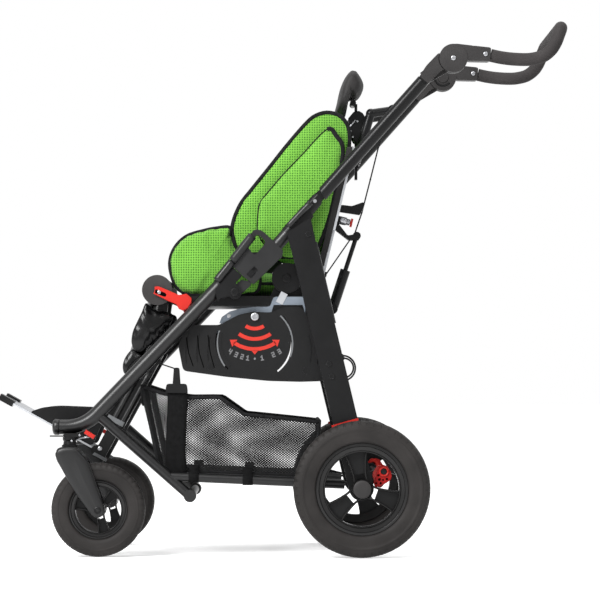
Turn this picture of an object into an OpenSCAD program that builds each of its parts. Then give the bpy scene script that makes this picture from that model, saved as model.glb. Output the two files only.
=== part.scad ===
// Special needs buggy: a folding wheeled frame with a tilting, reclining seat.
// Millimetres, +Z up, the front towards -X, the left side towards -Y.
// Points of the side view are [x, z] pairs. Each side is drawn at +Y and mirrored.

/* [Frame] */
// Distance from the middle to the axis of each side tube
tube_y = 200; // [196:1:206]
// Radius of the front frame tube
front_tube_r = 16; // [15:0.25:16.5]
// Radius of the push tube
push_tube_r = 14; // [13:0.25:14.5]
// Thickness of the flat rear leg
leg_t = 24; // [20:1:26]
// Width of the flat rear leg
leg_w = 54; // [48:1:58]
// Radius of the lower cross tube
cross_r = 9; // [8:0.5:10]

/* [Wheels] */
// Radius of the rear tyre
rear_r = 147; // [144:1:149]
// Width of the rear tyre
rear_w = 50; // [46:1:54]
// Radius of the front tyre
front_r = 101.5; // [99:0.5:103]
// Width of the front tyre
front_w = 45; // [40:1:46]
// Trail of the caster behind its stem
trail = 62; // [58:1:64]

/* [Push bar] */
// Radius of the foam grip
grip_r = 15; // [13:0.5:16]
// Radius of the hinge disc
hub_r = 31; // [29:0.5:33]

/* [Seat] */
// Half width of the seat cushion
cushion_half = 121; // [112:1:122]
// Thickness of the seat cushion
cushion_t = 56; // [48:1:60]
// Thickness of the side bolster
bolster_t = 38; // [30:1:40]
// Thickness of the back cushion
back_t = 54; // [44:1:58]
// Thickness of the calf pad
calf_t = 34; // [26:1:36]

/* [Foot rest] */
// Half width of the foot plate
foot_half = 88; // [80:1:90]
// Length of the foot plate
foot_len = 246; // [236:1:252]
// Thickness of the foot plate
foot_t = 4; // [3:0.5:5]

/* [Basket] */
// Half width of the basket
basket_half = 178; // [165:1:180]
// Thickness of the basket wall
basket_t = 4; // [2:0.5:5]

/* [Clearances] */
// Radial clearance of a pin in its bore
fit = 0.05; // [0.03:0.01:0.08]
// Clearance between moving faces
gap = 0.5; // [0.3:0.1:0.7]

/* [Hidden] */
$fn = 64;
touch = 0.04;
black = [0.07, 0.07, 0.08];
dark = [0.16, 0.16, 0.17];
grey = [0.3, 0.31, 0.32];
steel = [0.72, 0.73, 0.75];
pale = [0.55, 0.6, 0.66];
green = [0.35, 0.75, 0.16];
red = [0.85, 0.1, 0.08];

// Side view layout of the frame
front_end = [-490, 279];
front_knee = [-425, 279];
front_angle = 46.2;
knee_r = 90;
push_foot = [-40, 637];
push_angle = 48.4;
fold_pivot = [-98, 572];
tilt_pivot = [-55, 519];
recline_pivot = [15, 604];
leg_pivot = [-269, 578];
bar_pivot = [377, 1081];
rear_axle = [176, rear_r];
stem_x = -454;
front_axle = [stem_x + trail, front_r];
brake_pivot = [212, rear_r + 29];
leg_top = [46, 691];
strut_top = [-393, 304];
strut_foot = [-195, 130];
rail_start = [-236, 172];
rail_end = rear_axle + [-36, 8];
rail_r = 10;
rail_y = tube_y;
function on_rail(x) = rail_start[1] + (x - rail_start[0]) * (rail_end[1] - rail_start[1]) / (rail_end[0] - rail_start[0]);
base_tubes = [[-150, 410], [58, 402]];
leg_screws = [[106, 417], [112, 389]];

// Sideways layout
leg_in = tube_y + 12;
leg_out = leg_in + leg_t;
rear_y = leg_out + 6 + rear_w / 2;
caster_y = tube_y + 25;
panel_out = tube_y - 17.5;
panel_t = 14;
panel_in = panel_out - panel_t;
plate_out = panel_in - 2;
plate_t = 6;
plate_in = plate_out - plate_t;
base_half = plate_in - touch;
bolster_out = plate_out - 3.5;
bolster_in = bolster_out - bolster_t;
disc_out = plate_out - 0.5;
disc_t = 13;
arm_out = disc_out - disc_t - touch;
arm_t = 10;
lug_out = arm_out - arm_t - gap;
lug_t = 9;
pad_out = panel_out - 5;
pad_in = pad_out - 25;
wing_out = pad_in - 1.5;
wing_in = wing_out - 20;

// Distances along the push tube from its foot
leg_wrap_start = 83;
leg_wrap_end = 150;
fold_t = 176;
fold_n = 1.5;
push_start = fold_t + 16.5;
push_end = 530;
pin_r = 4;
cheek_t = 8;
fold_r = 15.2;

function dir(a) = [cos(a), sin(a)];
function left_of(a) = [-sin(a), cos(a)];
function spin(p, a) = [p[0] * cos(a) - p[1] * sin(a), p[0] * sin(a) + p[1] * cos(a)];
function on_push(t, n = 0) = push_foot + t * dir(push_angle) + n * left_of(push_angle);
front_base = front_knee + 440.6 * dir(front_angle);
function on_front(s, n = 0) = front_base + s * dir(front_angle) + n * left_of(front_angle);
leg_angle = atan2(leg_top[1] - rear_axle[1], leg_top[0] - rear_axle[0]);
function on_leg(t, n = 0) = rear_axle + t * dir(leg_angle) + n * left_of(leg_angle);
leg_len = norm(leg_top - rear_axle);
push_pin = on_push(fold_t, fold_n);

// A polygon whose corners are rounded by short curves that start cut from the corner
function unit(v) = v / norm(v);
function curve(a, b, c, s) = (1 - s) * (1 - s) * a + 2 * s * (1 - s) * b + s * s * c;
function smooth(pts, cut, n = 3) = [
    for (i = [0 : len(pts) - 1])
        let (
            p = pts[i],
            q = pts[(i + len(pts) - 1) % len(pts)],
            r = pts[(i + 1) % len(pts)],
            c = min(cut, 0.45 * norm(p - q), 0.45 * norm(r - p))
        )
        for (k = [0 : n]) curve(p + c * unit(q - p), p, p + c * unit(r - p), k / n)
];

// Shapes in the side view
module plate(pts, y0, y1) {
    translate([0, y1, 0]) rotate([90, 0, 0]) linear_extrude(height = y1 - y0) polygon(pts);
}

module disc(c, r, y0, y1) {
    translate([c[0], y1, c[1]]) rotate([90, 0, 0]) cylinder(h = y1 - y0, r = r);
}

module bar(p, q, y, r) {
    d = q - p;
    translate([p[0], y, p[1]]) rotate([0, atan2(d[0], d[1]), 0]) cylinder(h = norm(d), r = r);
}

module bend(c, big_r, r, a0, da, y) {
    translate([c[0], y, c[1]]) rotate([90, 0, 0]) rotate([0, 0, a0])
        rotate_extrude(angle = da) translate([big_r, 0]) circle(r = r);
}

module sector(c, r0, r1, a0, da, y0, y1) {
    translate([c[0], y1, c[1]]) rotate([90, 0, 0]) rotate([0, 0, a0])
        rotate_extrude(angle = da) translate([r0, 0]) square([r1 - r0, y1 - y0]);
}

module ring_y(section, c, y) {
    translate([c[0], y, c[1]]) rotate([90, 0, 0]) rotate_extrude() polygon(section);
}

module both() {
    children();
    mirror([0, 1, 0]) children();
}

module left() {
    mirror([0, 1, 0]) children();
}

// A stuffed pad: an outline whose rings draw in towards both faces, which are crowned
pad_rings = [[-0.5, 0.86], [-0.42, 0.94], [-0.25, 0.985], [0, 1], [0.25, 0.985], [0.42, 0.94], [0.5, 0.86]];
crown_rings = [[0.68, 0.6], [0.82, 0.3]];
module stuffed(pts, mid, t, crown) {
    n = len(pts);
    low = [for (i = [len(crown_rings) - 1 : -1 : 0]) [-0.5 - crown * crown_rings[i][0], crown_rings[i][1]]];
    high = [for (r = crown_rings) [0.5 + crown * r[0], r[1]]];
    rings = concat(low, pad_rings, high);
    m = len(rings);
    points = concat(
        [for (r = rings) for (p = pts) [mid[0] + (p[0] - mid[0]) * r[1], mid[1] + (p[1] - mid[1]) * r[1], r[0] * t]],
        [[mid[0], mid[1], (-0.5 - crown) * t], [mid[0], mid[1], (0.5 + crown) * t]]
    );
    sides = [
        for (k = [0 : m - 2]) for (i = [0 : n - 1])
            for (f = [
                [k * n + i, (k + 1) * n + i, (k + 1) * n + (i + 1) % n],
                [k * n + i, (k + 1) * n + (i + 1) % n, k * n + (i + 1) % n]
            ]) f
    ];
    ends = [
        for (i = [0 : n - 1])
            for (f = [
                [m * n, i, (i + 1) % n],
                [m * n + 1, (m - 1) * n + (i + 1) % n, (m - 1) * n + i]
            ]) f
    ];
    polyhedron(points = points, faces = concat(sides, ends), convexity = 4);
}

module side_pad(pts, mid, y0, y1, crown) {
    t = (y1 - y0) / (1 + 2 * crown);
    translate([0, (y0 + y1) / 2, 0]) rotate([90, 0, 0]) stuffed(pts, mid, t, crown);
}

module faced_pad(c, lean, half_w, height, t, cut, crown) {
    pts = smooth([[-half_w, -height / 2], [half_w, -height / 2], [half_w, height / 2], [-half_w, height / 2]], cut, 5);
    translate([c[0], 0, c[1]]) rotate([0, lean, 0]) rotate([90, 0, -90])
        stuffed(pts, [0, 0], t / (1 + 2 * crown), crown);
}

// Rear leg, with the casting that holds the push tube at its top
module leg_side() {
    half = leg_w / 2;
    difference() {
        union() {
            plate([on_leg(0, half), on_leg(0, -half), on_leg(leg_len, -half), on_leg(leg_len, half)], leg_in, leg_out);
            disc(rear_axle, half - 0.4, leg_in, leg_out);
            plate(
                [on_leg(30, 0), on_leg(0, 0), brake_pivot + [6, -11], brake_pivot + [-5, 12]],
                leg_in, leg_out
            );
            disc(brake_pivot, 12.5, leg_in, leg_out);
            bar(on_push(leg_wrap_start), on_push(leg_wrap_end), tube_y, fold_r);
            plate(
                smooth([
                    on_push(leg_wrap_start, -19), on_push(leg_wrap_start, 1),
                    on_push(leg_wrap_end, 1), on_push(leg_wrap_end, -19)
                ], 3),
                tube_y - 18, tube_y + 26
            );
            plate(
                smooth([on_leg(leg_len - 60, half), on_leg(leg_len - 60, -half), on_push(leg_wrap_end - 8, -16),
                        on_push(leg_wrap_start, 1)], 4),
                leg_in, leg_out
            );
            for (y = [tube_y - push_tube_r, tube_y + push_tube_r - cheek_t]) intersection() {
                bar(on_push(leg_wrap_end - 6), on_push(fold_t + 30), tube_y, fold_r);
                union() {
                    plate(
                        [on_push(leg_wrap_end - 6, -20), on_push(fold_t, -20), on_push(fold_t, 20),
                         on_push(leg_wrap_end - 6, 20)],
                        y, y + cheek_t
                    );
                    disc(push_pin, fold_r, y, y + cheek_t);
                }
            }
        }
        bar(on_push(leg_wrap_start - 40), on_push(leg_wrap_end + 0.2), tube_y, push_tube_r + fit);
        disc(push_pin, pin_r + fit, tube_y - 30, tube_y + 30);
        disc(rear_axle, 10 + fit, leg_in - 1, leg_out + 1);
        disc(brake_pivot, 6 + fit, leg_in - 1, leg_out + 1);
        for (s = leg_screws) disc(s, 3 + fit, leg_in - 1, leg_out + 1);
        disc([61, 697], 3 + fit, leg_out - 10, leg_out + 1);
        plate(
            [on_leg(138, half + 2), on_leg(138, -half - 2), on_leg(146, -half - 2), on_leg(146, half + 2)],
            leg_out - 4, leg_out + 1
        );
    }
}

module rear_leg_right() {
    color(black) leg_side();
}

module rear_leg_left() {
    color(black) left() leg_side();
}

// Red elastic bands across the lower legs
module leg_dampers() {
    half = leg_w / 2;
    color(red) both()
        plate(
            [on_leg(138.2, half), on_leg(138.2, -half), on_leg(145.8, -half), on_leg(145.8, half)],
            leg_out - 4 + touch, leg_out + 0.6
        );
}

// Lower stretch of the push tubes, between the hinge casting and the leg
module mid_tubes() {
    color(black) both() bar(on_push(12), on_push(leg_wrap_end), tube_y, push_tube_r);
}

// Hinge casting at the foot of the push tube, with its window and its lock pocket
lock_at = [-60, 615];
lock_half = [12, 6];
module bracket_side() {
    side = 16.5;
    difference() {
        union() {
            plate(
                smooth([
                    on_front(34, 20), [-55, 709], [-38, 705], [7, 662], [5, 650], [-58, 588], on_front(36, -40), on_front(34, -22)
                ], 7),
                tube_y - side, tube_y + side
            );
            plate(
                [fold_pivot + [-6, 10], [-84, 598], [-60, 595], [-66, 584], fold_pivot + [7, -9]],
                tube_y - 10.5, tube_y + 10.5
            );
            disc(fold_pivot, 12, tube_y - 10.5, tube_y + 10.5);
        }
        bar(on_push(12 - touch), on_push(120), tube_y, push_tube_r + fit);
        disc(fold_pivot, pin_r + fit, tube_y - 30, tube_y + 30);
        plate(
            smooth([[-71, 671], [-55, 650], [-29, 681], [-49, 699]], 9, 4),
            tube_y - 30, tube_y + 30
        );
        plate(
            [for (c = [[-1, -1], [1, -1], [1, 1], [-1, 1]])
                lock_at + spin([c[0] * lock_half[0], c[1] * lock_half[1]], front_angle)],
            tube_y + side - 7, tube_y + side + 1
        );
    }
}

module hinge_bracket_right() {
    color(grey) bracket_side();
}

module hinge_bracket_left() {
    color(grey) left() bracket_side();
}

// Lock slider that frees the fold
module lock_side() {
    inset = 4;
    at = lock_at - inset * dir(front_angle);
    plate(
        [for (c = [[-1, -1], [1, -1], [1, 1], [-1, 1]])
            at + spin([c[0] * (lock_half[0] - inset - gap), c[1] * (lock_half[1] - gap)], front_angle)],
        tube_y + 16.5 - 7 + touch, tube_y + 16.5 + 2.5
    );
}

module fold_lock_right() {
    color(black) lock_side();
}

module fold_lock_left() {
    color(black) left() lock_side();
}

// Rear axle and the two tubes that join the tilt panels
module cross_tubes() {
    color(dark) {
        disc(rear_axle, 10, -leg_out - 3, leg_out + 3);
        disc(rear_axle, 6, -rear_y - rear_w / 2 + 6, rear_y + rear_w / 2 - 6);
        for (c = base_tubes) disc(c, 8, -panel_out, panel_out);
    }
}

// Tilt panel with its dial, its see-through arcs and its moulded ribs
dial = [-56, 465];
module panel_side() {
    difference() {
        union() {
            plate(
                smooth([
                    [-211, 401], [-118, 388], [-26, 379], [44, 377], [104, 379], [121, 386], [121, 430], [46, 541],
                    [10, 541], [-20, 528], [-56, 530], [-88, 524], [-109, 514], [-130, 501], [-200, 501], [-222, 457]
                ], 9),
                panel_in, panel_out
            );
            sector(dial, 72, 79, 165, 60, panel_out - 1, panel_out + 1.2);
            for (s = leg_screws) disc(s, 8, panel_out - 1, leg_in - touch);
        }
        sector(dial, 81, 85, 163, 63, panel_in - 1, panel_out + 1);
        sector(dial, 80, 84, -52, 92, panel_in - 1, panel_out + 1);
        for (k = [0 : 2]) sector([-20, 440], 135 + 24 * k, 138 + 24 * k, 165, 22, panel_out - 2, panel_out + 1);
        for (k = [0 : 1]) sector([-20, 445], 88 + 16 * k, 91 + 16 * k, -16, 38, panel_out - 2, panel_out + 1);
        disc(tilt_pivot, 5 + fit, panel_in - 1, panel_out + 1);
        for (c = base_tubes) disc(c, 8 + fit, panel_in - 1, panel_out + 1);
        for (s = leg_screws) disc(s, 3 + fit, leg_in - 20, leg_in + 1);
    }
}

module tilt_panel_right() {
    color(black) panel_side();
}

module tilt_panel_left() {
    color(black) left() panel_side();
}

// Brake cables with their slack loops behind the left leg
module brake_cables() {
    y = leg_in - 5;
    cable_r = 1.9;
    loops = [[on_leg(262, -22), 27, y], [on_leg(262, -24), 21, y - 5]];
    color(black) left() {
        for (l = loops) bend(l[0], l[1], cable_r, -95, 190, l[2]);
        for (l = loops) for (a = [-95, 95]) disc(l[0] + l[1] * dir(a), 4, l[2] - 4, leg_in - touch);
        bar(on_leg(125, 8), loops[0][0] + 27 * dir(-95), y, cable_r);
        bar(loops[0][0] + 27 * dir(95), on_leg(500, 6), y, cable_r);
        disc(on_leg(125, 8), 4, y - 4, leg_in - touch);
        disc(on_leg(500, 6), 4, y - 4, leg_in - touch);
    }
}

// Hinge pins, pivot bolts and screws of the frame
module chassis_bolts() {
    color(steel) both() {
        disc(push_pin, pin_r, tube_y - 13.8, tube_y + 13.8);
        disc(fold_pivot, pin_r, tube_y - 19.5, tube_y + 20);
        disc(fold_pivot, 9, tube_y + 19 + touch, tube_y + 22);
        disc(tilt_pivot, 5, plate_in - 4, panel_out + 2);
        disc(tilt_pivot, 9, panel_out + touch, panel_out + 3);
        for (s = leg_screws) {
            disc(s, 3, leg_in - 6, leg_out + 1);
            disc(s, 6, leg_out + touch, leg_out + 2.5);
        }
        disc([61, 697], 3, leg_out - 9, leg_out + 1);
        disc([61, 697], 6, leg_out + touch, leg_out + 2.5);
    }
}

// Front frame tube: level at the front, then rising. The bend is a hair thinner, so that the runs overlap it
lap = 2;
thin = 0.12;
module front_axis(r) {
    run = knee_r * tan(front_angle / 2);
    bar(front_end, front_knee - [run - lap, 0], tube_y, r);
    bend(front_knee + [-run, knee_r], knee_r, r - thin, -90, front_angle, tube_y);
    bar(front_knee + (run - lap) * dir(front_angle), on_front(33), tube_y, r);
}

module front_tube_right() {
    color(black) front_axis(front_tube_r);
}

module front_tube_left() {
    color(black) left() front_axis(front_tube_r);
}

// Lower halves of the fold hinges, clamped on the front tubes
module fold_plates() {
    color(black) both() difference() {
        union() {
            bar(on_front(-17), on_front(33.2), tube_y, front_tube_r + 1.4);
            plate(
                smooth([on_front(-28, 2), on_front(33.2, 2), on_front(33.2, -20), on_front(-44, -20)], 3),
                tube_y - 19, tube_y + 19
            );
            for (y = [tube_y - 19, tube_y + 11]) {
                plate(
                    [on_front(-40, -17), on_front(14, -17), fold_pivot + [13, 2], fold_pivot + [2, -14],
                     fold_pivot + [-11, -9]],
                    y, y + 8
                );
                disc(fold_pivot, 15, y, y + 8);
            }
        }
        bar(on_front(-120), on_front(60), tube_y, front_tube_r + fit);
        disc(fold_pivot, pin_r + fit, tube_y - 30, tube_y + 30);
    }
}

// Lower frame: struts, the tube across their feet, and the rails to the rear axle
module lower_frame() {
    color(black) {
        both() {
            difference() {
                bar(strut_top, strut_foot, tube_y, 11);
                front_axis(front_tube_r + touch);
            }
            disc(strut_foot, 13.5, tube_y - 13, tube_y + 13);
            bar(rail_start, rail_end, rail_y, rail_r);
            plate(
                [rear_axle + [-44, 9], rear_axle + [-36, 10.4], rear_axle + [-3, 10.4], rear_axle + [1, 14.4],
                 rear_axle + [-44, 14.4]],
                tube_y - 6, tube_y + 6
            );
        }
        disc(strut_foot, cross_r, -tube_y, tube_y);
    }
}

// End caps of the front tubes and the heads that hold the caster stems
head_z = 236.5;
module front_fittings() {
    color(dark) both() {
        translate([front_end[0] - 7, tube_y, front_end[1]]) rotate([0, 90, 0])
            cylinder(h = 7 - touch, r = front_tube_r + 1.5);
        difference() {
            union() {
                translate([stem_x, caster_y, head_z + gap]) cylinder(h = 26, r = 17);
                translate([stem_x - 17, tube_y - 12, 250]) cube([36, 37, 22]);
                translate([stem_x - 36, caster_y - 9, head_z + 4]) cube([30, 18, 3]);
            }
            bar(front_end - [20, 0], front_end + [90, 0], tube_y, front_tube_r + touch);
            translate([stem_x, caster_y, head_z - 1]) cylinder(h = 24, r = 9 + fit);
            translate([stem_x, caster_y, head_z + 18]) rotate([0, 90, 0]) cylinder(h = 40, r = 3 + fit);
        }
    }
}

// Swivel lock: a steel plunger with a red grip
module swivel_side() {
    z = head_z + 18;
    translate([stem_x + 10.5, caster_y, z]) rotate([0, 90, 0]) cylinder(h = 28, r = 3);
    translate([stem_x + 35, caster_y - 6, z - 5]) cube([20, 12, 15]);
}

module swivel_lock_right() {
    color(red) swivel_side();
}

module swivel_lock_left() {
    color(red) left() swivel_side();
}

// Caster fork with its stem and axle
fork_gap = front_w / 2 + 4.5;
fork_t = 6;
module fork_side() {
    blade = smooth([
        [stem_x - 29, 214], [stem_x - 26, head_z], [stem_x + 16, head_z], [stem_x + 42, 206],
        front_axle + [15, 4], front_axle + [-15, -6], [stem_x + 15, 138]
    ], 14, 4);
    outer = fork_gap + fork_t;
    difference() {
        union() {
            for (y = [caster_y - outer, caster_y + fork_gap]) {
                plate(blade, y, y + fork_t);
                disc(front_axle, 16, y, y + fork_t);
            }
            intersection() {
                plate(blade, caster_y - outer + 0.5, caster_y + outer - 0.5);
                translate([stem_x - 60, caster_y - 60, 2 * front_r + 4.5]) cube([140, 120, 60]);
            }
            translate([stem_x, caster_y, head_z - 10]) cylinder(h = 32, r = 9);
            disc(front_axle, 5, caster_y - outer - 3, caster_y + outer + 3);
            disc(front_axle, 9, caster_y + outer - 1, caster_y + outer + 4);
        }
    }
}

module caster_fork_right() {
    color(dark) fork_side();
}

module caster_fork_left() {
    color(dark) left() fork_side();
}

// Tyre section, from the rim outwards
function tyre_section(r, w, rim) = smooth([
    [rim, -0.36 * w], [rim + 0.1 * (r - rim), -0.46 * w], [rim + 0.45 * (r - rim), -0.5 * w],
    [rim + 0.8 * (r - rim), -0.46 * w], [r, -0.24 * w], [r, 0.24 * w],
    [rim + 0.8 * (r - rim), 0.46 * w], [rim + 0.45 * (r - rim), 0.5 * w],
    [rim + 0.1 * (r - rim), 0.46 * w], [rim, 0.36 * w]
], 5, 2);

// Rim with three spokes, each of two ribs with a web between them
module rim(c, y, rim_r, open_r, hub, hub_half, bore, w, angles) {
    difference() {
        union() {
            ring_y(smooth([[open_r, -0.3 * w], [rim_r, -0.34 * w], [rim_r, 0.34 * w], [open_r, 0.3 * w]], 3, 2), c, y);
            disc(c, hub, y - hub_half, y + hub_half);
            for (a = angles) {
                for (m = [-1, 1])
                    plate(
                        [for (p = [[hub * 0.6, m * hub * 0.2], [open_r + 3, m * open_r * 0.14],
                                   [open_r + 3, m * open_r * 0.29], [hub * 0.6, m * hub * 0.62]])
                            c + spin(p, a)],
                        y - 0.12 * w, y + 0.24 * w
                    );
                plate(
                    [for (p = [[hub * 0.6, -hub * 0.4], [open_r + 3, -open_r * 0.2],
                               [open_r + 3, open_r * 0.2], [hub * 0.6, hub * 0.4]])
                        c + spin(p, a)],
                    y - 0.1 * w, y + 0.08 * w
                );
            }
        }
        disc(c, bore, y - hub_half - 1, y + hub_half - 4);
    }
}

rear_rim_r = 0.677 * rear_r;
near_spokes = [100, 220, 340];
far_spokes = [55, 175, 295];
module rear_rim_side(spokes) {
    rim(rear_axle, rear_y, rear_rim_r, 0.54 * rear_r, 21, rear_w / 2 - 1, 6 + fit, rear_w, spokes);
}

module rear_tyre_right() {
    color(black) ring_y(tyre_section(rear_r, rear_w, rear_rim_r + touch), rear_axle, rear_y);
}

module rear_tyre_left() {
    color(black) left() ring_y(tyre_section(rear_r, rear_w, rear_rim_r + touch), rear_axle, rear_y);
}

module rear_rim_right() {
    color(dark) rear_rim_side(far_spokes);
}

module rear_rim_left() {
    color(dark) left() rear_rim_side(near_spokes);
}

front_rim_r = 0.626 * front_r;
module front_rim_side() {
    difference() {
        rim(front_axle, caster_y, front_rim_r, 0.488 * front_r, 15, front_w / 2 + 3, 5 + fit, front_w, [285, 45, 165]);
        disc(front_axle, 5 + fit, caster_y - 60, caster_y + 60);
    }
}

module front_tyre_right() {
    color(black) ring_y(tyre_section(front_r, front_w, front_rim_r + touch), front_axle, caster_y);
}

module front_tyre_left() {
    color(black) left() ring_y(tyre_section(front_r, front_w, front_rim_r + touch), front_axle, caster_y);
}

module front_rim_right() {
    color(dark) front_rim_side();
}

module front_rim_left() {
    color(dark) left() front_rim_side();
}

// Brake bar with a red shoe inside each wheel and a pedal in the middle
module brake_bar() {
    shoe = [brake_pivot + [-6, -24], brake_pivot + [-14, 4], brake_pivot + [0, 24], brake_pivot + [16, 18],
            brake_pivot + [22, -6], brake_pivot + [6, -28]];
    color(red) {
        disc(brake_pivot, 6, -leg_out - 10, leg_out + 10);
        both() difference() {
            plate(smooth(shoe, 7), leg_out + gap, leg_out + 9);
            disc(brake_pivot + [5, 9], 6, leg_out, leg_out + 20);
        }
        plate(
            [brake_pivot + [-3, -5], brake_pivot + [52, -14], brake_pivot + [52, -8], brake_pivot + [3, 5]],
            -45, 45
        );
    }
}

// Basket, open at the top and lower in front, with tabs to the rails
basket_top = [[-301, 371], [-252, 356], [-201, 349], [-131, 349], [-78, 312], [86, 300]];
basket_floor = [[80, 172], [-262, 186]];
basket_tabs = [-187, -70, 50];
front_z = 330;
module basket() {
    t = basket_t;
    color(black) {
        difference() {
            plate(concat(basket_top, basket_floor), -basket_half, basket_half);
            plate(
                [[-301 + t, 500], [100 - t, 500], [80 - t, 172 + t], [-262 + t, 186 + t], [-301 + t, 371]],
                -basket_half + t, basket_half - t
            );
            translate([-320, -130, front_z]) cube([70, 260, 100]);
        }
        both() for (x = basket_tabs)
            plate(
                [[x - 14, on_rail(x) - 5], [x + 14, on_rail(x) - 5], [x + 14, on_rail(x) + 32], [x - 14, on_rail(x) + 32]],
                basket_half - 1, rail_y - rail_r - touch
            );
    }
}

// Webbing strap on the left wall of the basket
strap_x = -225;
strap_y = basket_half + touch;
module basket_strap() {
    color(black) left()
        translate([strap_x - 22, strap_y, 190]) cube([44, 1.6, 168]);
}

// Ring, snap hook and the wire that they hang from
module basket_hook() {
    y = strap_y + 0.4;
    hook_y = max(panel_out, strap_y) + 2;
    high = [hook_y, hook_y + 3];
    color(steel) left() {
        difference() {
            plate(smooth([[strap_x - 25, 353], [strap_x + 25, 353], [strap_x + 22, 373], [strap_x - 22, 373]], 6), y + 1.3, high[1]);
            plate(smooth([[strap_x - 20, 357], [strap_x + 20, 357], [strap_x + 18, 366], [strap_x - 18, 366]], 3), y - 3, y + 9);
        }
        plate(smooth([[strap_x - 9, 368], [strap_x + 9, 368], [strap_x + 6, 408], [strap_x - 6, 408]], 4), high[0], high[1]);
        difference() {
            bar([strap_x + 2, 404], [strap_x - 46, 420], high[0] + 1.5, 1.4);
            front_axis(front_tube_r + touch);
        }
        difference() {
            plate([[strap_x - 46, 416], [strap_x - 36, 414], [strap_x - 30, 450], [strap_x - 40, 450]],
                min(high[0], tube_y - 12), max(high[1], tube_y - 12));
            front_axis(front_tube_r + touch);
        }
    }
}

// Push tube with its fold tongue and the socket of the bar hinge
tongue_t = 2 * (push_tube_r - cheek_t - gap);
module push_side() {
    difference() {
        union() {
            difference() {
                bar(on_push(push_start), on_push(push_end), tube_y, push_tube_r);
                plate(
                    [on_push(push_start - 5, -16), on_push(push_start, -16), on_push(push_start + 12, 16),
                     on_push(push_start - 5, 16)],
                    tube_y - 30, tube_y + 30
                );
            }
            plate(
                smooth([[301, 1038], [318, 1064.5], [343, 1090.5], [362, 1098], [372, 1062], [350, 1053],
                        [319.5, 1022.5]], 4),
                tube_y - 16.5, tube_y + 16.5
            );
            plate(
                [on_push(push_start + 14, -10), on_push(push_start + 14, 10), on_push(fold_t, fold_n + 12),
                 on_push(fold_t, fold_n - 12)],
                tube_y - tongue_t / 2, tube_y + tongue_t / 2
            );
            disc(push_pin, 12.5, tube_y - tongue_t / 2, tube_y + tongue_t / 2);
            plate(
                [on_push(538, -14), on_push(538, 16), bar_pivot + spin([-4, 18], push_angle - 90 + 60),
                 bar_pivot + [14, -14]],
                tube_y - 4, tube_y + 4
            );
            disc(bar_pivot, hub_r - 8, tube_y - 4, tube_y + 4);
        }
        disc(push_pin, pin_r + fit, tube_y - 30, tube_y + 30);
        disc(bar_pivot, 5 + fit, tube_y - 30, tube_y + 30);
        for (y = [tube_y - 30, tube_y + 4]) disc(bar_pivot, hub_r + 1.5, y, y + 26);
    }
}

module push_tube_right() {
    color(dark) push_side();
}

module push_tube_left() {
    color(dark) left() push_side();
}

// Hinge hubs and arms of the push bar
arm_end = [458, 1089];
grip_knee = [581, 1077.5];
grip_first = atan2(grip_knee[1] - arm_end[1], grip_knee[0] - arm_end[0]);
hub_half = 17;
button_r = 12.5;
module push_arms() {
    color(dark) both() difference() {
        union() {
            for (y = [tube_y - hub_half, tube_y + 4 + gap])
                disc(bar_pivot, hub_r, y, y + hub_half - 4 - gap);
            plate(
                smooth([bar_pivot + [26, 26], bar_pivot + [44, 27], arm_end + 15 * left_of(grip_first), arm_end - 15 * left_of(grip_first),
                        bar_pivot + [32, -6], bar_pivot + [27, 2]], 5),
                tube_y - 16, tube_y + 16
            );
            for (y = [tube_y - 16, tube_y + 4 + gap])
                plate(
                    smooth([bar_pivot + [-14, 27], bar_pivot + [6, 31.5], bar_pivot + [44, 27], bar_pivot + [40, -6],
                            bar_pivot + [10, 0]], 4),
                    y, y + 16 - 4 - gap
                );
            disc(bar_pivot, 5, tube_y - 10, tube_y + 16);
        }
        disc(bar_pivot, button_r + gap, tube_y - hub_half - 1, tube_y - hub_half + 9);
    }
}

// Push button inside each hinge
module button_side() {
    disc(bar_pivot, button_r, tube_y - hub_half - 2, tube_y - hub_half + 5);
}

module push_button_right() {
    color(black) button_side();
}

module push_button_left() {
    color(black) left() button_side();
}

// Foam grip: one bar that runs back, up and across
grip_rise = 70;
grip_bend = 58;
corner_r = 30;
module push_grip() {
    first = grip_first;
    start = arm_end + touch * dir(first);
    turn = grip_rise - first;
    run = grip_bend * tan(turn / 2);
    low = grip_knee - run * dir(first);
    high = grip_knee + run * dir(grip_rise);
    reach = (-on_foot(foot_len, -7)[0] - grip_r - high[0]) / cos(grip_rise);
    far = high + (reach - corner_r) * dir(grip_rise);
    color(dark) {
        both() {
            bar(start, low + lap * dir(first), tube_y, grip_r);
            bend(low + grip_bend * left_of(first), grip_bend, grip_r - 5 * thin, first - 90, turn, tube_y);
            bar(high - lap * dir(grip_rise), far + lap * dir(grip_rise), tube_y, grip_r);
            translate([far[0], tube_y - corner_r, far[1]]) rotate([0, -grip_rise, 0])
                rotate_extrude(angle = 90) translate([corner_r, 0]) circle(r = grip_r - 5 * thin);
        }
        disc(far + corner_r * dir(grip_rise), grip_r, corner_r - tube_y - lap, tube_y - corner_r + lap);
    }
}

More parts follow.
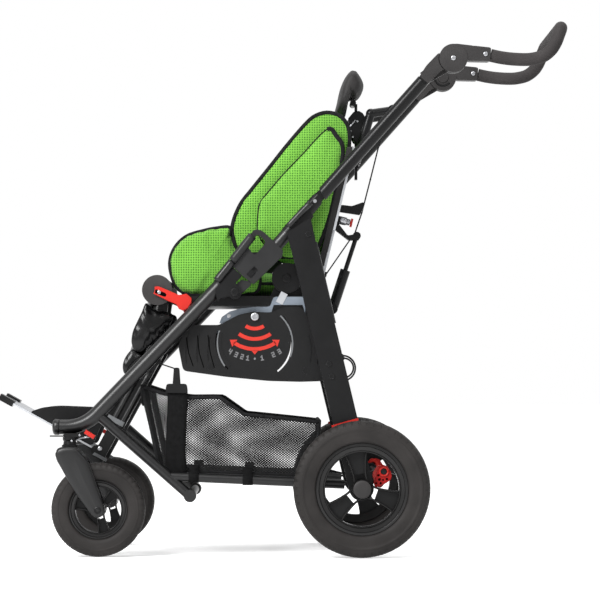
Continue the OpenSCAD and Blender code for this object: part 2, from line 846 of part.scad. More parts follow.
// Seat base with the lugs of the knee, the recline hinge and the gas strut
strut_low = [118, 540];
strut_high = [172, 704];
knee_lug_out = 138;
module seat_base() {
    color(black) difference() {
        union() {
            plate(smooth([[-230, 548], [-222, 565], [58, 565], [58, 548], [50, 543], [-222, 543]], 4), -base_half, base_half);
            both() {
                plate([[-26, 556], [56, 556], recline_pivot + [17, 2], recline_pivot + [-17, 2]], lug_out - lug_t, lug_out);
                disc(recline_pivot, 17.3, lug_out - lug_t, lug_out);
                plate([[-222, 546], [-222, 563], leg_pivot + [6, 13], leg_pivot + [-6, -13]], knee_lug_out - 10, knee_lug_out);
                disc(leg_pivot, 14, knee_lug_out - 10, knee_lug_out);
                plate([[40, 546], [40, 562], strut_low + [4, 11], strut_low + [4, -11]], 12.5, 18.5);
                disc(strut_low, 11.4, 12.5, 18.5);
            }
        }
        disc(recline_pivot, 7 + fit, -base_half, base_half);
        disc(leg_pivot, 8 + fit, -base_half, base_half);
        disc(strut_low, 4 + fit, -base_half, base_half);
    }
}

// Tilt plates that hang the seat base from the pivot bolts
module tilt_plates() {
    color(pale) both() difference() {
        plate(
            smooth([
                [-146, 484], [-130, 504], [-117, 521], [-103, 531], [-79, 538], [-57, 541], [-22, 541], [-14, 563],
                [54, 563], [56, 510], [20, 480], [-56, 468]
            ], 6),
            plate_in, plate_out
        );
        disc(tilt_pivot, 5 + fit, plate_in - 1, plate_out + 1);
    }
}

// Seat cushion
module seat_cushion() {
    depth = 276;
    pts = smooth([[-depth / 2, -cushion_half], [depth / 2, -cushion_half], [depth / 2, cushion_half],
                  [-depth / 2, cushion_half]], 40, 5);
    color(green) translate([-103, 0, 565 + touch + cushion_t / 2]) stuffed(pts, [0, 0], cushion_t / 1.3, 0.15);
}

// Side bolsters of the seat
bolster = smooth([
    [-118, 718], [-166, 710], [-204, 697], [-229, 674], [-241, 645], [-239, 615], [-226, 584], [-198, 566.5],
    [-140, 565.3], [-70, 566.5], [-42, 580], [-44, 622], [-62, 640], [-103, 656]
], 16, 2);
module seat_bolsters() {
    color(green) both() side_pad(bolster, [-150, 640], bolster_in, bolster_out, 0.1);
}

// Backrest plate and its side arms
back_foot = [92.5, 612];
back_lean = 13.5;
shoulder = pad_out - 10;
function on_back(t, n = 0) = back_foot + t * dir(90 - back_lean) + n * left_of(90 - back_lean);
module back_frame() {
    color(steel) difference() {
        union() {
            plate([on_back(4, 0), on_back(290, 0), on_back(290, -5), on_back(4, -5)], -148, 148);
            plate([on_back(100, 0), on_back(230, 0), on_back(230, -5), on_back(100, -5)], -shoulder, shoulder);
            both() {
                plate(
                    [recline_pivot + [-4, -19], recline_pivot + [-10, 17], on_back(52, -0.5), on_back(52, -5), on_back(4, -5),
                     on_back(4, -1)],
                    arm_out - arm_t, arm_out
                );
                disc(recline_pivot, 19.6, arm_out - arm_t, arm_out);
            }
        }
        disc(recline_pivot, 7 + fit, -base_half, base_half);
    }
}

// Back cushion
module back_cushion() {
    color(green) faced_pad(on_back(178, back_t / 2 + touch), back_lean, wing_in - 3, 318, back_t, 40, 0.12);
}

// Front wings of the backrest
wing = smooth([
    [-84, 664], [-99, 702], [-98, 728], [-83, 767], [-58, 801], [-22, 847], [19, 900], [60, 948],
    [82, 964], [108, 968], [136, 956], [152, 926], on_back(250, 0.3), on_back(110, 0.3), [100, 692], [40, 668], [-40, 655]
], 18, 2);
module back_wings() {
    color(green) both() side_pad(wing, [30, 790], wing_in, wing_out, 0.08);
}

// Padded side supports outside the wings
lateral = smooth([
    [-49, 706], [-49, 740], [-44, 768], [-27, 791], [7, 831], [48, 874], [103, 932], [126, 917],
    [142, 892], on_back(226, 0.3), on_back(180, 0.3), on_back(120, 0.3), [104, 680], [88, 654], [50, 645], [14, 646], [-14, 658], [-38, 681]
], 14, 2);
module lateral_pads() {
    color(green) both() side_pad(lateral, [50, 760], pad_in, pad_out, 0.12);
}

// Hip discs, strut rod, headrest guide, rear bow and the latch bracket
guide_z = [868, 898];
stem_box = [167.5, 173.5, 12];
bow_y = 62;
bow_knee = [202, 974];
bow_end = [251, 981];
pull_cord = [[249, 976], [221, 903], [203, 831], [184, 757], [168, 710]];
cord_r = 1.6;
bow_cross_r = 11.5;
bow_r = 10;
function lever(grow) = smooth([on_back(151 - grow, -5 - touch), on_back(168 + grow, -5 - touch), on_back(171 + grow, -30 + grow),
                               on_back(186 + grow, -53 + grow), on_back(178 + grow, -57 - grow), on_back(155 - grow, -52 - grow)], 3);
module back_fittings() {
    rod_dir = unit(strut_low - strut_high);
    color(black) {
        both() {
            disc(recline_pivot, 33, arm_out + touch, disc_out);
            disc(recline_pivot, 7, lug_out - lug_t, disc_out - 1);
            plate(
                smooth([on_back(110, -5 - touch), on_back(129, -5 - touch), on_back(104, -36), strut_high + [9, 6],
                        strut_high + [5, -10], on_back(94, -40)], 3),
                9, 15
            );
            plate(
                [on_back(260, -5 - touch), on_back(288, -5 - touch), on_back(288, -23), on_back(260, -23)],
                bow_y - 10, bow_y + 10
            );
            bar(on_back(268, -16), bow_knee, bow_y, bow_r);
            bar(bow_knee, bow_end, bow_y, bow_r - 0.4);
            translate([bow_knee[0], bow_y, bow_knee[1]]) sphere(r = bow_r + 1, $fn = 32);
        }
        disc(bow_end, bow_cross_r, -bow_y - 16, bow_y + 16);
        difference() {
            union() {
                for (k = [0 : len(pull_cord) - 2]) bar(pull_cord[k], pull_cord[k + 1], 0, cord_r);
                for (k = [1 : len(pull_cord) - 2])
                    translate([pull_cord[k][0], 0, pull_cord[k][1]]) sphere(r = cord_r + 0.5, $fn = 16);
            }
            disc(bow_end, bow_cross_r + touch, -20, 20);
            disc(strut_high, 9 + touch, -20, 20);
            plate(lever(4 * touch), -8, 8);
        }
        bar([158, 697], on_back(8, -9), 12, 1.5);
        plate([on_back(2, -5 - touch), on_back(14, -5 - touch), on_back(14, -11), on_back(2, -11)], 8, 16);
        disc(strut_high, 9, -15, 15);
        bar(strut_high, strut_high + 92 * rod_dir, 0, 5);
        difference() {
            plate([on_back(262, -5 - touch), on_back(289, -5 - touch), [181, guide_z[1]], [181, guide_z[0]]], -19, 19);
            translate([stem_box[0] - fit, -stem_box[2] - fit, 800])
                cube([stem_box[1] - stem_box[0] + 2 * fit, 2 * (stem_box[2] + fit), 200]);
        }
        difference() {
            bar(on_back(134, -5 - touch), on_back(134, -26), 0, 9);
            bar(on_back(134, 0), on_back(134, -40), 0, 4 + fit);
        }
        plate(lever(0), -5, 5);
    }
}

// Latch pin with its red T grip
module t_pin() {
    color(red) {
        bar(on_back(134, -6), on_back(134, -38), 0, 4);
        plate([on_back(124.5, -35), on_back(143.5, -35), on_back(143.5, -40), on_back(124.5, -40)], -5, 5);
    }
}

// Gas strut barrel
module strut_barrel() {
    up = unit(strut_high - strut_low);
    color(black) difference() {
        union() {
            bar(strut_low + 6 * up, strut_low + 92 * up, 0, 11.4);
            disc(strut_low, 10, -12, 12);
        }
        bar(strut_low + 14 * up, strut_low + 100 * up, 0, 9.9);
        disc(strut_low, 4 + fit, -30, 30);
    }
    color(steel) disc(strut_low, 4, -18.4, 18.4);
}

// Headrest stem and pad
pad_c = [157, 1035];
stem_foot = 830;
module headrest_stem() {
    color(steel) {
        translate([stem_box[0], -stem_box[2], stem_foot])
            cube([stem_box[1] - stem_box[0], 2 * stem_box[2], 1000 - stem_foot]);
        disc([163.5, 1001], 6.8, -30, 30);
    }
}

module headrest_pad() {
    outline = smooth([[120, 968], [127, 1004], [135, 1034], [146, 1061], [163, 1077], [176, 1067], [189, 1043],
                      [185, 1023], [173, 1009], [154, 1009], [151, 990], [145, 968]], 10, 2);
    color(black) side_pad(outline, [158, 1036], -105, 105, 0.06);
}

// Leg rest: knee axle, discs and outer bars
knee_end = [-275, 440];
shin_angle = -118.6;
bar_y = [94, 114];
bar_clear = 1.5;
calf_c = [-304, 484];
calf_lean = 18.5;
function on_calf(t, n) = calf_c + t * dir(90 - calf_lean) - n * left_of(90 - calf_lean);
function on_shin(t, n = 0) = knee_end + t * dir(shin_angle) + n * left_of(shin_angle);
module leg_bars() {
    color(dark) {
        disc(leg_pivot, 8, -140, 140);
        both() {
            disc(leg_pivot, 33, 139, 160);
            difference() {
                union() {
                    plate([leg_pivot + [6, 10], leg_pivot + [26, -4], on_shin(4, 16), on_shin(4, -4)], bar_y[0], bar_y[1]);
                    disc(leg_pivot, 15, bar_y[0], bar_y[1]);
                    plate(smooth([on_shin(-8, 18), on_shin(199, 18), on_shin(199, -18), on_shin(-8, -18)], 4), bar_y[0], bar_y[1]);
                }
                plate([on_shin(52, 13), on_shin(210, 13), on_shin(210, -13), on_shin(52, -13)], bar_y[0] + 5, bar_y[1] - 5);
            }
        }
        plate([for (c = [[-60, 17], [60, 17], [60, 20], [-60, 20]]) on_calf(c[0], c[1] + touch)], -bar_y[0] - 2, bar_y[0] + 2);
    }
}

// Calf pad in front of the bars
module calf_pad() {
    color(black) faced_pad(on_calf(0, 17 - calf_t / 2), calf_lean, 112, 166, calf_t, 34, 0.12);
}

// Clamp lever of each knee
lever_at = [-266, 576];
module lever_side() {
    y = 163;
    color(red) difference() {
        union() {
            plate(
                smooth([lever_at + [-22, 20], lever_at + [-26, 8], lever_at + [40, -18], lever_at + [52, -34],
                        lever_at + [66, -30], lever_at + [74, -14], lever_at + [62, -4], lever_at + [44, -4]], 5),
                y + gap, y + 7
            );
            disc(lever_at, 6, 160 + touch, y + 2);
        }
        plate([lever_at + [-30, 17], lever_at + [-28, 10], lever_at + [-8, 1], lever_at + [-6, 8]], y - 9, y + 9);
    }
}

module knee_lever_right() {
    lever_side();
}

module knee_lever_left() {
    left() lever_side();
}

// Inner bars that slide in the leg rest, with the foot hinge rod
foot_pivot = [-404, 226];
module foot_bars() {
    slide = 0.15;
    color(steel) {
        both() {
            plate(
                [on_shin(108, 13 - slide), on_shin(264, 13 - slide), on_shin(264, -13 + slide), on_shin(108, -13 + slide)],
                bar_y[0] + 5 + slide, bar_y[1] - 5 - slide
            );
            disc(foot_pivot, 12, bar_y[0] + 5 + slide, bar_y[1] - 5 - slide);
        }
        disc(foot_pivot, 5, -bar_y[0] - 8, bar_y[0] + 8);
    }
}

// Foot plate with its hinge sleeve
foot_angle = 151.2;
function on_foot(t, n = 0) = foot_pivot + t * dir(foot_angle) - n * left_of(foot_angle);
module foot_plate() {
    color(steel) difference() {
        union() {
            plate([on_foot(2, -2), on_foot(foot_len - 14, -2), on_foot(foot_len - 14, foot_t - 2), on_foot(2, foot_t - 2)], -foot_half, foot_half);
            plate(
                [on_foot(20, foot_t - 3), on_foot(foot_len - 40, foot_t - 3), on_foot(foot_len - 40, foot_t - 1),
                 on_foot(20, foot_t - 1)],
                8 - foot_half, foot_half - 8
            );
            disc(foot_pivot, 10, -foot_half, foot_half);
        }
        disc(foot_pivot, 5 + fit, -foot_half - 1, foot_half + 1);
        both() disc(foot_pivot, 12 + bar_clear, bar_y[0] + 5 - bar_clear, bar_y[1] - 5 + bar_clear);
    }
}

// Black side walls and tips of the foot plate
module foot_trim() {
    top = foot_t - 2 + touch;
    color(black) both() {
        plate(
            smooth([on_foot(14, top), on_foot(172, top), on_foot(150, 26), on_foot(128, 40), on_foot(36, 86), on_foot(20, 70)], 9),
            foot_half - 6, foot_half - 1
        );
        difference() {
            plate([on_foot(foot_len - 34, -7), on_foot(foot_len, -7), on_foot(foot_len, 7), on_foot(foot_len - 34, 7)],
                  foot_half - 34, foot_half + 2);
            plate([on_foot(0, -2 - touch), on_foot(foot_len - 14 + touch, -2 - touch),
                   on_foot(foot_len - 14 + touch, foot_t - 2 + touch), on_foot(0, foot_t - 2 + touch)], 0, foot_half + touch);
        }
    }
}

rear_leg_left();
rear_leg_right();
leg_dampers();
mid_tubes();
hinge_bracket_left();
hinge_bracket_right();
fold_lock_left();
fold_lock_right();
cross_tubes();
tilt_panel_left();
tilt_panel_right();
brake_cables();
chassis_bolts();
front_tube_left();
front_tube_right();
fold_plates();
lower_frame();
front_fittings();
swivel_lock_left();
swivel_lock_right();
caster_fork_left();
caster_fork_right();
front_tyre_left();
front_tyre_right();
front_rim_left();
front_rim_right();
rear_tyre_left();
rear_tyre_right();
rear_rim_left();
rear_rim_right();
brake_bar();
basket();
basket_strap();
basket_hook();
push_tube_left();
push_tube_right();
push_arms();
push_button_left();
push_button_right();
push_grip();
seat_base();
tilt_plates();
seat_cushion();
seat_bolsters();
back_frame();
back_cushion();
back_wings();
lateral_pads();
back_fittings();
t_pin();
strut_barrel();
headrest_stem();
headrest_pad();
leg_bars();
calf_pad();
knee_lever_left();
knee_lever_right();
foot_bars();
foot_plate();
foot_trim();
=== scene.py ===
"""The looks of a special needs buggy: materials, sewn pads, tyres, basket and small fittings."""
import math

import bmesh
import bpy
from mathutils import Matrix, Vector, noise


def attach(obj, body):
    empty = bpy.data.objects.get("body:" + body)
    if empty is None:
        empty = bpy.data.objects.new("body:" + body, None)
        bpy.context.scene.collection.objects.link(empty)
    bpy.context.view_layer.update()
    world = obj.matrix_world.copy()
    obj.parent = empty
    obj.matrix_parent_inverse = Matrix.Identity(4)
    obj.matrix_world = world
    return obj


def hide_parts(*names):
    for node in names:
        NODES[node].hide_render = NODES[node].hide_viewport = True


MM = 0.001
SIDES = (("left", -1), ("right", 1))

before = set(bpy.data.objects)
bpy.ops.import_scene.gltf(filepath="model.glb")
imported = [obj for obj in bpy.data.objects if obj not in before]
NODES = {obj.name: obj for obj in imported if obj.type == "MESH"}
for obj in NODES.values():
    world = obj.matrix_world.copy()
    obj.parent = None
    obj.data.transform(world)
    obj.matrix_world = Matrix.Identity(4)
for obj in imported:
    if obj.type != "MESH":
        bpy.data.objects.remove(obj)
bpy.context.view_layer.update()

# Camera at the photograph's place
PHOTO_PX = 600
SENSOR_MM = 36
FOCAL_PX = 2830
PRINCIPAL = (280, 375)
CAMERA_AT = Vector((0, -6.35, 0.392))
camera_data = bpy.data.cameras.new("camera")
camera_data.sensor_width = SENSOR_MM
camera_data.lens = FOCAL_PX / PHOTO_PX * SENSOR_MM
camera_data.clip_end = 100
camera = bpy.data.objects.new("camera", camera_data)
camera.location = CAMERA_AT
look = Vector(((PHOTO_PX / 2 - PRINCIPAL[0]) / FOCAL_PX, 1, (PRINCIPAL[1] - PHOTO_PX / 2) / FOCAL_PX))
camera.rotation_euler = look.to_track_quat("-Z", "Y").to_euler()
bpy.context.scene.collection.objects.link(camera)
bpy.context.scene.camera = camera

# Layout in millimetres, the same values as the CAD
TUBE_Y = 200
PANEL_OUT = 182.5
LEG_OUT = 236
REAR_Y = 267
REAR_R = 147
REAR_W = 50
REAR_AXLE = (176, 147)
FRONT_R = 101.5
FRONT_W = 45
CASTER_Y = 225
FRONT_AXLE = (-392, 101.5)
TILT_PIVOT = (-55, 519)
RECLINE = (15, 604)
BAR_PIVOT = (377, 1081)
BACK_FOOT = (92.5, 612)
BACK_LEAN = 13.5
BAR_HALF = 17
FORK_HALF = 33
HIP_OUT = 166
TILT_PLATE_OUT = 166.6
KNEE_OUT = 169.6
SHIN_Y = 111.5
FOOT_Y = 109


def turn(point, degrees):
    """A side view point turned about the origin."""
    c = math.cos(math.radians(degrees))
    s = math.sin(math.radians(degrees))
    return (point[0] * c - point[1] * s, point[0] * s + point[1] * c)


def direction(degrees):
    """The unit vector at an angle in the side view."""
    return turn((1, 0), degrees)


def along(start, degrees, t, n=0.0):
    """A point t along and n to the left of a line in the side view."""
    d = direction(degrees)
    return (start[0] + t * d[0] - n * d[1], start[1] + t * d[1] + n * d[0])


def on_back(t, n=0.0):
    """A point t up the backrest and n in front of it."""
    return along(BACK_FOOT, 90 - BACK_LEAN, t, n)


# Materials
RAMP_STOPS = (0.3, 0.7)


def new_material(name):
    """A material with its node tree, shader and object coordinates."""
    mat = bpy.data.materials.new(name)
    mat.use_nodes = True
    tree = mat.node_tree
    shader = tree.nodes["Principled BSDF"]
    coords = tree.nodes.new("ShaderNodeTexCoord")
    return mat, tree, shader, coords.outputs["Object"]


def plug(tree, node, inputs):
    """Sets each input of a node to a number or colour, or links it to an output."""
    for key, value in inputs.items():
        if isinstance(value, bpy.types.NodeSocket):
            tree.links.new(value, node.inputs[key])
        else:
            node.inputs[key].default_value = value


def add_node(tree, kind, inputs, output, **settings):
    """A shader node with its settings and inputs, of which one output is given back."""
    node = tree.nodes.new(f"ShaderNode{kind}")
    for key, value in settings.items():
        setattr(node, key, value)
    plug(tree, node, inputs)
    return node.outputs[output]


def reckon(tree, operation, *values):
    """The result of a math node on numbers or outputs."""
    return add_node(tree, "Math", dict(enumerate(values)), 0, operation=operation)


def scaled(tree, coords, scale):
    """Coordinates scaled along each axis."""
    return add_node(tree, "Mapping", {"Vector": coords, "Scale": scale}, "Vector")


def add_noise(tree, coords, scale, detail=3.0, stretch=None):
    """A noise texture over the object's coordinates, stretched along an axis if asked."""
    vector = scaled(tree, coords, stretch) if stretch else coords
    return add_node(tree, "TexNoise", {"Vector": vector, "Scale": scale, "Detail": detail}, "Fac")


def cells(tree, coords, scale, flatten=None, wander=0.35):
    """A Voronoi texture, its distance from the middle of each cell, the same along an axis scaled to zero."""
    vector = scaled(tree, coords, flatten) if flatten else coords
    return add_node(tree, "TexVoronoi", {"Vector": vector, "Scale": scale, "Randomness": wander}, "Distance")


def shades(tree, factor, colour, low, high):
    """A colour ramp from a darker to a lighter shade of a colour."""
    node = tree.nodes.new("ShaderNodeValToRGB")
    for stop, position, share in zip(node.color_ramp.elements, RAMP_STOPS, (low, high)):
        stop.position = position
        stop.color = (*(min(1, c * share) for c in colour), 1)
    tree.links.new(factor, node.inputs["Fac"])
    return node.outputs["Color"]


def span(tree, factor, low, high):
    """A value mapped from 0..1 to low..high."""
    return add_node(tree, "MapRange", {"Value": factor, "To Min": low, "To Max": high}, "Result")


def add_bump(tree, shader, height, strength, distance, normal=None):
    """A bump node on the shader's normal, after another one if given."""
    inputs = {"Height": height, "Strength": strength, "Distance": distance}
    if normal:
        inputs["Normal"] = normal
    bumped = add_node(tree, "Bump", inputs, "Normal")
    tree.links.new(bumped, shader.inputs["Normal"])
    return bumped


def moulded(name, colour, rough=0.45, metal=0.0, grain=900, grain_depth=0.00006, vary=0.25, coat=0.0,
            spread=0.08, stretch=None, specular=0.16):
    """Plastic, paint or metal with a fine grain, worn patches and uneven gloss."""
    mat, tree, shader, coords = new_material(name)
    patches = add_noise(tree, coords, 14, 5)
    gloss = add_noise(tree, coords, 45, 4, stretch)
    fine = add_noise(tree, coords, grain, 2, stretch)
    add_bump(tree, shader, fine, 0.35, grain_depth)
    plug(tree, shader, {
        "Base Color": shades(tree, patches, colour, 1 - vary, 1 + vary),
        "Roughness": span(tree, gloss, max(0.02, rough - spread), min(1, rough + spread)),
        "Metallic": metal,
        "Specular IOR Level": specular,
        "Coat Weight": coat,
        "Coat Roughness": 0.14,
    })
    return mat


def spacer_mesh(name, colour, hole_shade, flatten):
    """Knitted spacer fabric: small round holes in soft rows, seen along the flattened axis, with painted
    shade inside the holes.
    """
    mat, tree, shader, coords = new_material(name)
    holes = cells(tree, coords, 185, flatten, 0.12)
    yarn = shades(tree, add_noise(tree, coords, 9, 4), colour, 0.85, 1.1)
    mixed = {"Factor": span(tree, holes, 2.1, -3.1), "A": yarn, "B": (*hole_shade, 1)}
    first = add_bump(tree, shader, add_noise(tree, coords, 60, 3), 0.25, 0.0012)
    add_bump(tree, shader, holes, 0.55, 0.0007, first)
    plug(tree, shader, {
        "Base Color": add_node(tree, "Mix", mixed, "Result", data_type="RGBA"),
        "Roughness": 0.85,
        "Specular IOR Level": 0.15,
        "Sheen Weight": 0.15,
        "Sheen Roughness": 0.5,
    })
    return mat


def vinyl(name, colour, rough):
    """Coated cloth with pores and soft creases; its colour follows the crease height, with painted shade in
    the hollows and painted highlight on the ridges.
    """
    mat, tree, shader, coords = new_material(name)
    creases = add_noise(tree, coords, 18, 3)
    first = add_bump(tree, shader, creases, 0.2, 0.0025)
    add_bump(tree, shader, cells(tree, coords, 700), 0.3, 0.0002, first)
    plug(tree, shader, {
        # Colour from the crease height: painted shade in the hollows, painted highlight on the ridges.
        "Base Color": shades(tree, creases, colour, 0.7, 1.5),
        "Roughness": span(tree, creases, rough - 0.08, rough + 0.14),
        "Specular IOR Level": 0.22,
    })
    return mat


def woven(name, colour, pitch):
    """Plain woven tape, with ribs both ways."""
    mat, tree, shader, coords = new_material(name)
    waves = {"Vector": coords, "Scale": 0.314 / (pitch * MM), "Distortion": 0.4}
    ribs = [add_node(tree, "TexWave", waves, "Fac", bands_direction=axis) for axis in ("X", "Z")]
    add_bump(tree, shader, reckon(tree, "MULTIPLY", *ribs), 0.6, 0.0004)
    plug(tree, shader, {
        "Base Color": shades(tree, add_noise(tree, coords, 120, 4), colour, 0.6, 1.5),
        "Specular IOR Level": 0.1,
        "Roughness": 0.8,
    })
    return mat


def net(name, colour, pitch, thread):
    """Open netting: crossing threads round see-through diamonds."""
    mat, tree, shader, coords = new_material(name)
    parts = tree.nodes.new("ShaderNodeSeparateXYZ")
    tree.links.new(coords, parts.inputs["Vector"])
    across = reckon(tree, "ADD", parts.outputs["X"], parts.outputs["Y"])
    threads = []
    for slope in (1.25, -1.25):
        lean = reckon(tree, "MULTIPLY_ADD", parts.outputs["Z"], slope, across)
        threads.append(reckon(tree, "PINGPONG", lean, pitch * MM / 2))
    near = reckon(tree, "MINIMUM", *threads)
    add_bump(tree, shader, near, 0.5, 0.3)
    plug(tree, shader, {
        "Alpha": reckon(tree, "LESS_THAN", near, thread * MM),
        "Base Color": shades(tree, add_noise(tree, coords, 30, 3), colour, 0.7, 1.4),
        "Specular IOR Level": 0.15,
        "Roughness": 0.6,
    })
    return mat


BLACK = moulded("black_plastic", (0.005, 0.005, 0.0053), 0.36)
PANEL = moulded("panel_plastic", (0.0055, 0.0055, 0.0058), 0.5, grain=1300, grain_depth=0.0001)
GLOSS = moulded("gloss_paint", (0.004, 0.004, 0.0043), 0.36, grain=500, grain_depth=0.00002, spread=0.05,
                specular=0.35)
SATIN = moulded("satin_paint", (0.006, 0.006, 0.0063), 0.3, grain=700, grain_depth=0.00004)
CASTING = moulded("grey_casting", (0.018, 0.018, 0.0185), 0.36, grain=800, grain_depth=0.0001)
STEEL = moulded("brushed_steel", (0.36, 0.365, 0.38), 0.3, metal=1.0, grain=600, grain_depth=0.00003,
                vary=0.12, stretch=(1, 0.06, 1))
ALLOY = moulded("satin_alloy", (0.44, 0.45, 0.47), 0.4, metal=1.0, grain=500, grain_depth=0.00004, vary=0.1,
                stretch=(0.06, 1, 1))
BLUE_GREY = moulded("blue_grey_plastic", (0.19, 0.22, 0.26), 0.38, vary=0.15)
RED = moulded("red_plastic", (0.44, 0.018, 0.012), 0.35, vary=0.12, coat=0.2)
# Near-black finish for grooves, notches and slots: painted shade in these recesses.
PAINTED_SHADE = moulded("painted_shade", (0.001, 0.001, 0.001), 0.8, specular=0.02)
DEEP_RED = moulded("deep_red_plastic", (0.3, 0.007, 0.006), 0.45, vary=0.2)
RED_MARK = moulded("red_print", (0.46, 0.03, 0.02), 0.5, vary=0.08)
GREY_MARK = moulded("grey_print", (0.16, 0.16, 0.165), 0.55, vary=0.12)
GREY = moulded("grey_plastic", (0.13, 0.135, 0.14), 0.4, vary=0.12)
WHEEL = moulded("wheel_plastic", (0.009, 0.0088, 0.0088), 0.22, coat=0.15, grain=600, grain_depth=0.00003)
TYRE = moulded("tyre_rubber", (0.019, 0.0172, 0.0165), 0.6, grain=700, grain_depth=0.0002, vary=0.3)
FOAM = moulded("foam_grip", (0.034, 0.031, 0.031), 0.75, grain=420, grain_depth=0.0005)
HUB = moulded("hub_plastic", (0.03, 0.0285, 0.0285), 0.45, grain=1100, grain_depth=0.0001)
YARN = (0.138, 0.355, 0.045)
# Dark green of the holes: painted shade inside them.
HOLE_SHADE = (0.02, 0.1, 0.008)
GREEN = spacer_mesh("green_spacer_mesh", YARN, HOLE_SHADE, (1, 0, 1))
GREEN_SEAT = spacer_mesh("green_seat_mesh", YARN, HOLE_SHADE, (1, 1, 0))
GREEN_BACK = spacer_mesh("green_back_mesh", YARN, HOLE_SHADE, (0, 1, 1))
VINYL = vinyl("black_vinyl", (0.0025, 0.0025, 0.0027), 0.2)
PAD_BLACK = vinyl("black_pad_cloth", (0.012, 0.0112, 0.0112), 0.55)
PIPING = woven("piping_tape", (0.009, 0.009, 0.0095), 1.2)
WEBBING = woven("webbing", (0.0035, 0.0035, 0.0037), 1.6)
NET = net("basket_net", (0.008, 0.008, 0.0083), 6.6, 0.75)

# Finishes of the CAD nodes, by the start of their names
FINISHES = (
    (BLACK, ("rear_leg", "fold_lock", "fold_plates", "seat_base", "foot_trim")),
    (RED, ("leg_dampers", "brake_bar", "t_pin")),
    (GLOSS, ("mid_tubes", "front_tube", "lower_frame", "caster_fork")),
    (CASTING, ("hinge_bracket",)),
    (SATIN, ("cross_tubes", "brake_cables", "basket_hook", "push_tube", "back_fittings", "strut_barrel",
             "headrest_stem", "leg_bars", "foot_bars")),
    (PANEL, ("tilt_panel",)),
    (STEEL, ("chassis_bolts",)),
    (HUB, ("push_arms", "push_button")),
    (BLUE_GREY, ("tilt_plates",)),
    (ALLOY, ("back_frame", "foot_plate")),
)
for finish, starts in FINISHES:
    for node_name, obj in NODES.items():
        if node_name.startswith(starts):
            obj.data.materials.clear()
            obj.data.materials.append(finish)


def second_finish(obj, material, wanted):
    """A second finish on the faces of an object whose centres are wanted."""
    mesh = obj.data
    mesh.materials.append(material)
    for face in mesh.polygons:
        if wanted(face.center / MM):
            face.material_index = 1


PUSH_FOOT = Vector((-40, 0, 637))
PUSH_WAY = Vector((0.664, 0, 0.748))
HINGE_START = 536
LEG_CLAMP_IN = 138
for side, sign in SIDES:
    second_finish(NODES[f"push_tube_{side}"], HUB, lambda c: (c - PUSH_FOOT).dot(PUSH_WAY) > HINGE_START)
second_finish(NODES["leg_bars"], HUB, lambda c: abs(c.y) > LEG_CLAMP_IN)
second_finish(NODES["brake_bar"], BLACK, lambda c: abs(c.y) < LEG_OUT)

# Rounded edges on the moulded and cast pieces
ROUNDED = {
    "caster_fork": 2.0, "rear_leg": 3.2, "tilt_panel": 1.2, "hinge_bracket": 2.2, "push_tube": 1.5,
    "fold_plates": 1.5, "push_arms": 2.0, "back_fittings": 0.8, "tilt_plates": 0.8, "foot_trim": 0.8,
    "foot_plate": 0.5, "leg_bars": 1.5,
}
for node_name, obj in NODES.items():
    for start, width in ROUNDED.items():
        if node_name.startswith(start):
            bevel = obj.modifiers.new("Rounded", "BEVEL")
            bevel.width = width * MM
            bevel.segments = 3
            bevel.limit_method = "ANGLE"
            bevel.angle_limit = math.radians(50)
            bevel.harden_normals = False


# Mesh helpers
def add_piece(name, verts, faces, material, body, smooth=True):
    """A mesh in millimetres that rides on a body and takes a finish."""
    mesh = bpy.data.meshes.new(name)
    mesh.from_pydata([Vector(v) * MM for v in verts], [], faces)
    mesh.materials.append(material)
    mesh.update()
    tidy = bmesh.new()
    tidy.from_mesh(mesh)
    bmesh.ops.recalc_face_normals(tidy, faces=tidy.faces)
    tidy.to_mesh(mesh)
    tidy.free()
    for face in mesh.polygons:
        face.use_smooth = smooth
    obj = bpy.data.objects.new(name, mesh)
    bpy.context.scene.collection.objects.link(obj)
    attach(obj, body)
    return obj


def flip(verts, sign):
    """The points on the side given by the sign."""
    return [(v[0], v[1] * sign, v[2]) for v in verts]


def bands(rows, n, start=0, loop=False):
    """Quads between neighbouring rows of n points, in a loop from the last row to the first too."""
    faces = []
    for i in range(rows if loop else rows - 1):
        a = start + i * n
        b = start + (i + 1) % rows * n
        for k in range(n):
            m = (k + 1) % n
            faces.append((a + k, a + m, b + m, b + k))
    return faces


def lid(row, n, start=0):
    """A face over one row of n points."""
    return tuple(range(start + row * n, start + (row + 1) * n))


def spline(a, b, c, d, t):
    """A point between b and c on a smooth curve through four points."""
    return 0.5 * (2 * b + (c - a) * t + (2 * a - 5 * b + 4 * c - d) * t * t
                  + (3 * b - a - 3 * c + d) * t * t * t)


def closed_curve(points, count):
    """A closed outline resampled to count points on a smooth curve through the given ones."""
    n = len(points)
    per = 24
    dense = []
    for i in range(n):
        four = [Vector(points[(i + k - 1) % n]) for k in range(4)]
        dense += [spline(*four, k / per) for k in range(per)]
    lengths = [0.0]
    for i in range(len(dense)):
        lengths.append(lengths[-1] + (dense[(i + 1) % len(dense)] - dense[i]).length)
    out = []
    j = 0
    for k in range(count):
        want = lengths[-1] * k / count
        while lengths[j + 1] < want:
            j += 1
        f = (want - lengths[j]) / (lengths[j + 1] - lengths[j])
        out.append(dense[j].lerp(dense[(j + 1) % len(dense)], f))
    return out


def smooth_path(points, per=8):
    """An open path smoothed through its points."""
    pts = [Vector(p) for p in points]
    pts = [2 * pts[0] - pts[1]] + pts + [2 * pts[-1] - pts[-2]]
    out = []
    for i in range(1, len(pts) - 2):
        out += [spline(*pts[i - 1:i + 3], k / per) for k in range(per)]
    out.append(pts[-2])
    return out


def straight(start, end, y, steps=8):
    """A straight path at one depth between two points of the side view."""
    return [(start[0] + (end[0] - start[0]) * k / steps, y, start[1] + (end[1] - start[1]) * k / steps)
            for k in range(steps + 1)]


